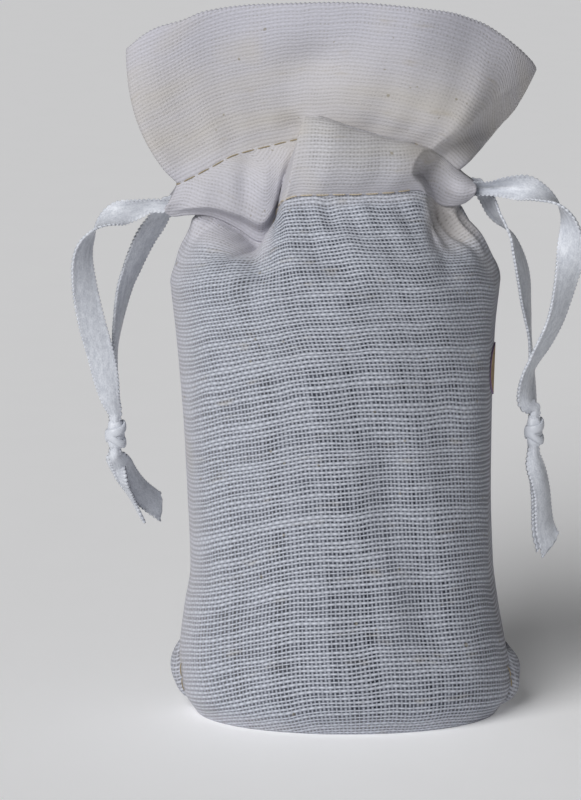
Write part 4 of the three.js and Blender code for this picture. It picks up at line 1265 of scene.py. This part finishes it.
ribbons = {
    "left": {
        "outwards": -1, "hinge": (-42.3, 116.4), "exit": 115.1, "lead_inside": -32.4, "knot": left_knot,
        "leaves": {"front": -42.4, "back": -38.6},
        "routes": {
            "front": [
                [-45.9, -2.8, 114.3], [-49, -3.5, 113.6], [-51.8, -4.2, 112.5], [-54.3, -4.8, 110.5],
                [-55.7, -5.1, 108.4], [-56.8, -5.3, 106.2], [-57.3, -5.4, 103.2], [-57.1, -5.3, 99],
                [-56.4, -5, 93.9], [-55.2, -4.6, 88.1], [-53.7, -3.8, 82.2], [-52.5, -2.8, 75.9],
                [-51.7, -1.9, 71.4],
            ],
            "back": [
                [-40, 2.8, 112.7], [-41.5, 3.4, 110.2], [-43.4, 4, 107.3], [-45.4, 4.3, 103.2],
                [-46.9, 4.4, 99.5], [-48.1, 4.3, 96.4], [-48.9, 4.1, 93.2], [-49.5, 3.9, 90],
                [-50.1, 3.6, 86.4], [-50.5, 3.1, 82.4], [-50.7, 2.5, 77.6], [-50.8, 1.6, 71.8],
            ],
        },
        "tails": {
            "front": [
                [-49.9, 0.4, 57], [-48.3, 4, 53.2], [-45.7, 8.5, 48.5], [-43.1, 11.5, 45.3],
                [-41.1, 13.2, 43.4],
            ],
            "back": [[-51.4, 1.4, 56.4], [-50.2, 4, 52.4], [-48.1, 8, 47.9], [-45.9, 11, 42.7]],
        },
        "turns": {
            "front": [
                (0, 0), (0.1, 6), (0.166, 48), (0.235, 88), (0.305, 120), (0.43, 144),
                (0.62, 165), (0.75, 176), (1, 180),
            ],
            "back": [
                (0, 0), (0.1, -30), (0.3, -44), (0.45, -58), (0.6, -74), (0.75, -84), (0.9, -60), (1, -20),
            ],
        },
        "tail_turns": {
            "front": [(0, 0), (0.5, -40), (1, -32)],
            "back": [(0, 0), (0.4, 96), (1, 112)],
        },
        "cuts": {"front": 3.0, "back": 2.4},
        "cups": {"front": 1.0, "back": -1.6},
        "grooves": {"front": 0.2, "back": 0},
    },
    "right": {
        "outwards": 1, "hinge": (32.0, 120.7), "exit": 119.1, "lead_inside": 22.1, "knot": right_knot,
        "leaves": {"front": 32.0, "back": 29.4},
        "routes": {
            "front": [
                [35.9, -2.8, 119.4], [39.8, -3.8, 119.1], [42.6, -4.5, 118.3], [45.4, -5.1, 117],
                [47.2, -5.4, 115.6], [48.8, -5.6, 113.1], [49.5, -5.6, 110.6], [49.7, -5.6, 106.7],
                [49.6, -5.5, 103.3], [49, -5.3, 99.2], [47.9, -5, 93.9], [46.8, -4.7, 89.9],
                [45.1, -4.2, 85.8], [43.9, -3.8, 83.4], [42.5, -3.4, 80.7], [41.2, -3, 78],
                [40.5, -2.3, 73.8], [40.9, -1.7, 70.6],
            ],
            "back": [
                [31.5, 2, 116.4], [33.5, 0.8, 112.9], [35.4, 0, 110.6], [37, -0.2, 108.3],
                [38.1, 0.2, 105.5], [39.4, 1.2, 101.2], [40.2, 2.2, 97.4], [40.8, 3.2, 92.5],
                [41.4, 3.5, 87.7], [41.8, 3.3, 83.8], [42.1, 2.7, 79], [42.4, 2, 74], [42.6, 1.5, 70.6],
            ],
        },
        "tails": {
            "front": [
                [43, -0.8, 56.6], [44.2, -0.4, 53.2], [45, 0.4, 49], [45.2, 1, 45.4], [45.7, 1.6, 41],
                [46.9, 2.2, 37.2],
            ],
            "back": [
                [42.8, 1.4, 56.6], [44, 2, 53], [44.6, 2.6, 48.8], [44.8, 3, 45], [45, 3.4, 40.8],
                [45.6, 3.8, 38],
            ],
        },
        "turns": {
            "front": [
                (0, 0), (0.1, -6), (0.158, -44), (0.207, -70), (0.24, -88), (0.28, -106), (0.32, -124),
                (0.38, -154), (0.44, -186), (0.5, -208), (0.57, -222), (0.65, -230), (0.75, -236),
                (0.82, -244), (0.9, -230), (1, -180),
            ],
            "back": [
                (0, 0), (0.06, 40), (0.12, 54), (0.18, 68), (0.24, 88), (0.32, 108), (0.42, 118),
                (0.5, 116), (0.6, 106), (0.7, 96), (0.8, 100), (1, 120),
            ],
        },
        "tail_turns": {
            "front": [(0, 0), (0.3, -44), (0.7, -46), (1, -30)],
            "back": [(0, 0), (0.3, 10), (1, 20)],
        },
        "cuts": {"front": 3.0, "back": 3.0},
        "cups": {"front": 1.0, "back": 1.0},
        "grooves": {"front": 2.3, "back": 0},
    },
}


def knot_bands(knot):
    """The overhand knot: a slim core and two ribbon turns lying slantwise over each other."""
    angle = round_angles(knot_columns)
    tall = np.linspace(-1, 1, knot_rows)
    centre = np.array([knot["across"], 0, knot["height"]])
    core = []
    for height in tall:
        barrel = knot_core_least + knot_core_barrel * math.sqrt(max(1 - height * height, 0))
        dimple = 1 - knot_dimple * np.sin(angle * 2 + 2.6 * height) ** 2
        core.append(centre + np.stack([
            knot["half_width"] * barrel * dimple * np.cos(angle),
            knot["half_depth"] * barrel * dimple * np.sin(angle),
            np.full(len(angle), knot["half_height"] * height),
        ], axis=1))
    tubes = [np.array(core)]
    wide, deep = knot["half_width"] * band_tightness, knot["half_depth"] * band_tightness
    for tilt, lift, half_band in knot_turns:
        section = round_angles(band_sides)
        rings = []
        for turn in angle:
            reach = np.array([wide * math.cos(turn), deep * math.sin(turn), 0])
            reach[2] = lift + tilt * reach[0] + band_wave * math.sin(2 * turn)
            outwards = np.array([math.cos(turn), math.sin(turn), 0])
            upwards = np.array([0, 0, 1])
            pinch = 1 - band_pinch * math.cos(turn + 1.1)
            rings.append(
                centre + reach + np.cos(section)[:, None] * outwards * band_half_thickness
                + np.sin(section)[:, None] * upwards * half_band * pinch
            )
        rings.append(rings[0])
        tubes.append(np.array(rings))
    return tubes


for word, ribbon in ribbons.items():
    knot_piece = tube_mesh(f"{word}_tied_knot", knot_bands(ribbon["knot"]), closed_ends=False)
    knot_piece.data.materials.append(white_satin)
    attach(knot_piece, f"{word}_ribbon_loop")
    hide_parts(f"{word}_knot")
    for place in ("front", "back"):
        strip, middle, whole = free_ribbon(word, place, ribbon)
        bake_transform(strip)
        [knot_piece] if place == "front" else []

# Label
# A plain round of kraft paper with a violet rim, stuck over the right-hand seam and on to the back.
# Only a sliver of it is seen from the front.
label_radius, label_thickness, label_height, label_past_seam = 5.8, 0.22, 78.0, 4.4
label_rings, label_columns, label_gap = 22, 96, 0.08
kraft_dark, kraft_light = paint(0.42, 0.28, 0.14), paint(0.56, 0.4, 0.22)
kraft_speck = paint(0.24, 0.15, 0.08)
violet_dark, violet_light = paint(0.26, 0.16, 0.32), paint(0.36, 0.25, 0.42)


def label_grid(stand):
    radii = np.linspace(0.02, 1, label_rings)[:, None] * label_radius
    angle = round_angles(label_columns)[None, :]
    from_seam = label_radius - label_past_seam + radii * np.cos(angle)
    column = half_columns + from_seam / half_girth * half_columns
    row = wall_row_place(label_height + radii * np.sin(angle))
    return on_cloth(pouch, column, row, np.full(column.shape, stand))


def kraft_finish():
    kraft = Finish("kraft_paper")
    laid = kraft.layer("OFBake")
    radius = kraft.axis(laid, 1)
    place = kraft.position()
    fibre = kraft.noise(place, 900.0, 4)
    speck = kraft.noise(place, 2600.0, 2)
    paper = kraft.blend(fibre.step(0.3, 0.7), kraft_dark, kraft_light)
    paper = kraft.blend(speck.step(0.66, 0.72) * 0.6, paper, kraft_speck)
    edge = radius.step(0.94, 0.96)
    violet = kraft.blend(fibre, violet_dark, violet_light)
    kraft.set(Base_Color=kraft.blend(edge, paper, violet), Roughness=0.8 + fibre * 0.1)
    kraft.set(Normal=kraft.bump(fibre, 0.00006, 0.5))
    return kraft.material


label_cloth = label_grid(label_gap + label_thickness)[:, ::-1]
label = cloth_piece("round_label", label_cloth, ring_threads(label_cloth, 20), 0, ring=True)
label.data.materials.append(kraft_finish())
thicken(label, label_thickness)
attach(label, "bag")
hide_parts("back_label")

# Studio
# A plain pale floor, one large soft light from the upper left and front, and a dim even surround.
# The camera looks from the front, a little above the sachet, as the photograph does.
floor_reach, floor_glow = 6.0, 0.13
floor_shade, floor_light = paint(0.94, 0.94, 0.95), paint(0.97, 0.97, 0.98)
surround_colour, surround_strength = paint(0.92, 0.95, 1.0), 0.02
camera_target = (-0.0117, 0.0, 0.071)
camera_distance, camera_elevation = 0.9, math.radians(12)
camera_lens, camera_sensor = 182, 36
key_target = (-0.005, 0, 0.08)
key_direction = np.array([-0.47, -0.7, 0.55])
key_distance, key_strength, key_softness = 1.2, 2.7, math.radians(42)

floor_mesh = bpy.data.meshes.new("floor")
floor_mesh.from_pydata(
    [(right * floor_reach, back * floor_reach, 0) for right, back in ((-1, -1), (1, -1), (1, 1), (-1, 1))],
    [], [(0, 1, 2, 3)],
)
floor = bpy.data.objects.new("floor", floor_mesh)
bpy.context.collection.objects.link(floor)
paper_floor = Finish("pale_floor")
grain = paper_floor.noise(paper_floor.position(), 60.0)
paper_floor.set(Base_Color=paper_floor.blend(grain, floor_shade, floor_light), Roughness=0.95)
paper_floor.set(Emission_Color=paint(1, 1, 1), Emission_Strength=floor_glow)
floor_mesh.materials.append(paper_floor.material)


def aim(thing, target):
    away = np.array(thing.location) - np.array(target)
    thing.rotation_mode = "XYZ"
    flat = math.hypot(away[0], away[1])
    thing.rotation_euler = (math.atan2(flat, away[2]), 0, math.atan2(away[0], -away[1]))


key_lamp = bpy.data.lights.new("key_light", "SUN")
key_lamp.energy = key_strength
key_lamp.angle = key_softness
key = bpy.data.objects.new("key_light", key_lamp)
key.location = np.array(key_target) + key_direction * key_distance
aim(key, key_target)
bpy.context.collection.objects.link(key)

world = bpy.data.worlds.new("studio")
bpy.context.scene.world = world
world.use_nodes = True
surround = world.node_tree.nodes["Background"]
surround.inputs["Color"].default_value = surround_colour
surround.inputs["Strength"].default_value = surround_strength

camera_data = bpy.data.cameras.new("camera")
camera_data.lens = camera_lens
camera_data.sensor_width = camera_sensor
camera_data.clip_start, camera_data.clip_end = 0.01, 50
camera = bpy.data.objects.new("camera", camera_data)
camera.location = (
    camera_target[0],
    camera_target[1] - camera_distance * math.cos(camera_elevation),
    camera_target[2] + camera_distance * math.sin(camera_elevation),
)
aim(camera, camera_target)
bpy.context.collection.objects.link(camera)
bpy.context.scene.camera = camera
bpy.context.scene.view_settings.view_transform = "Standard"
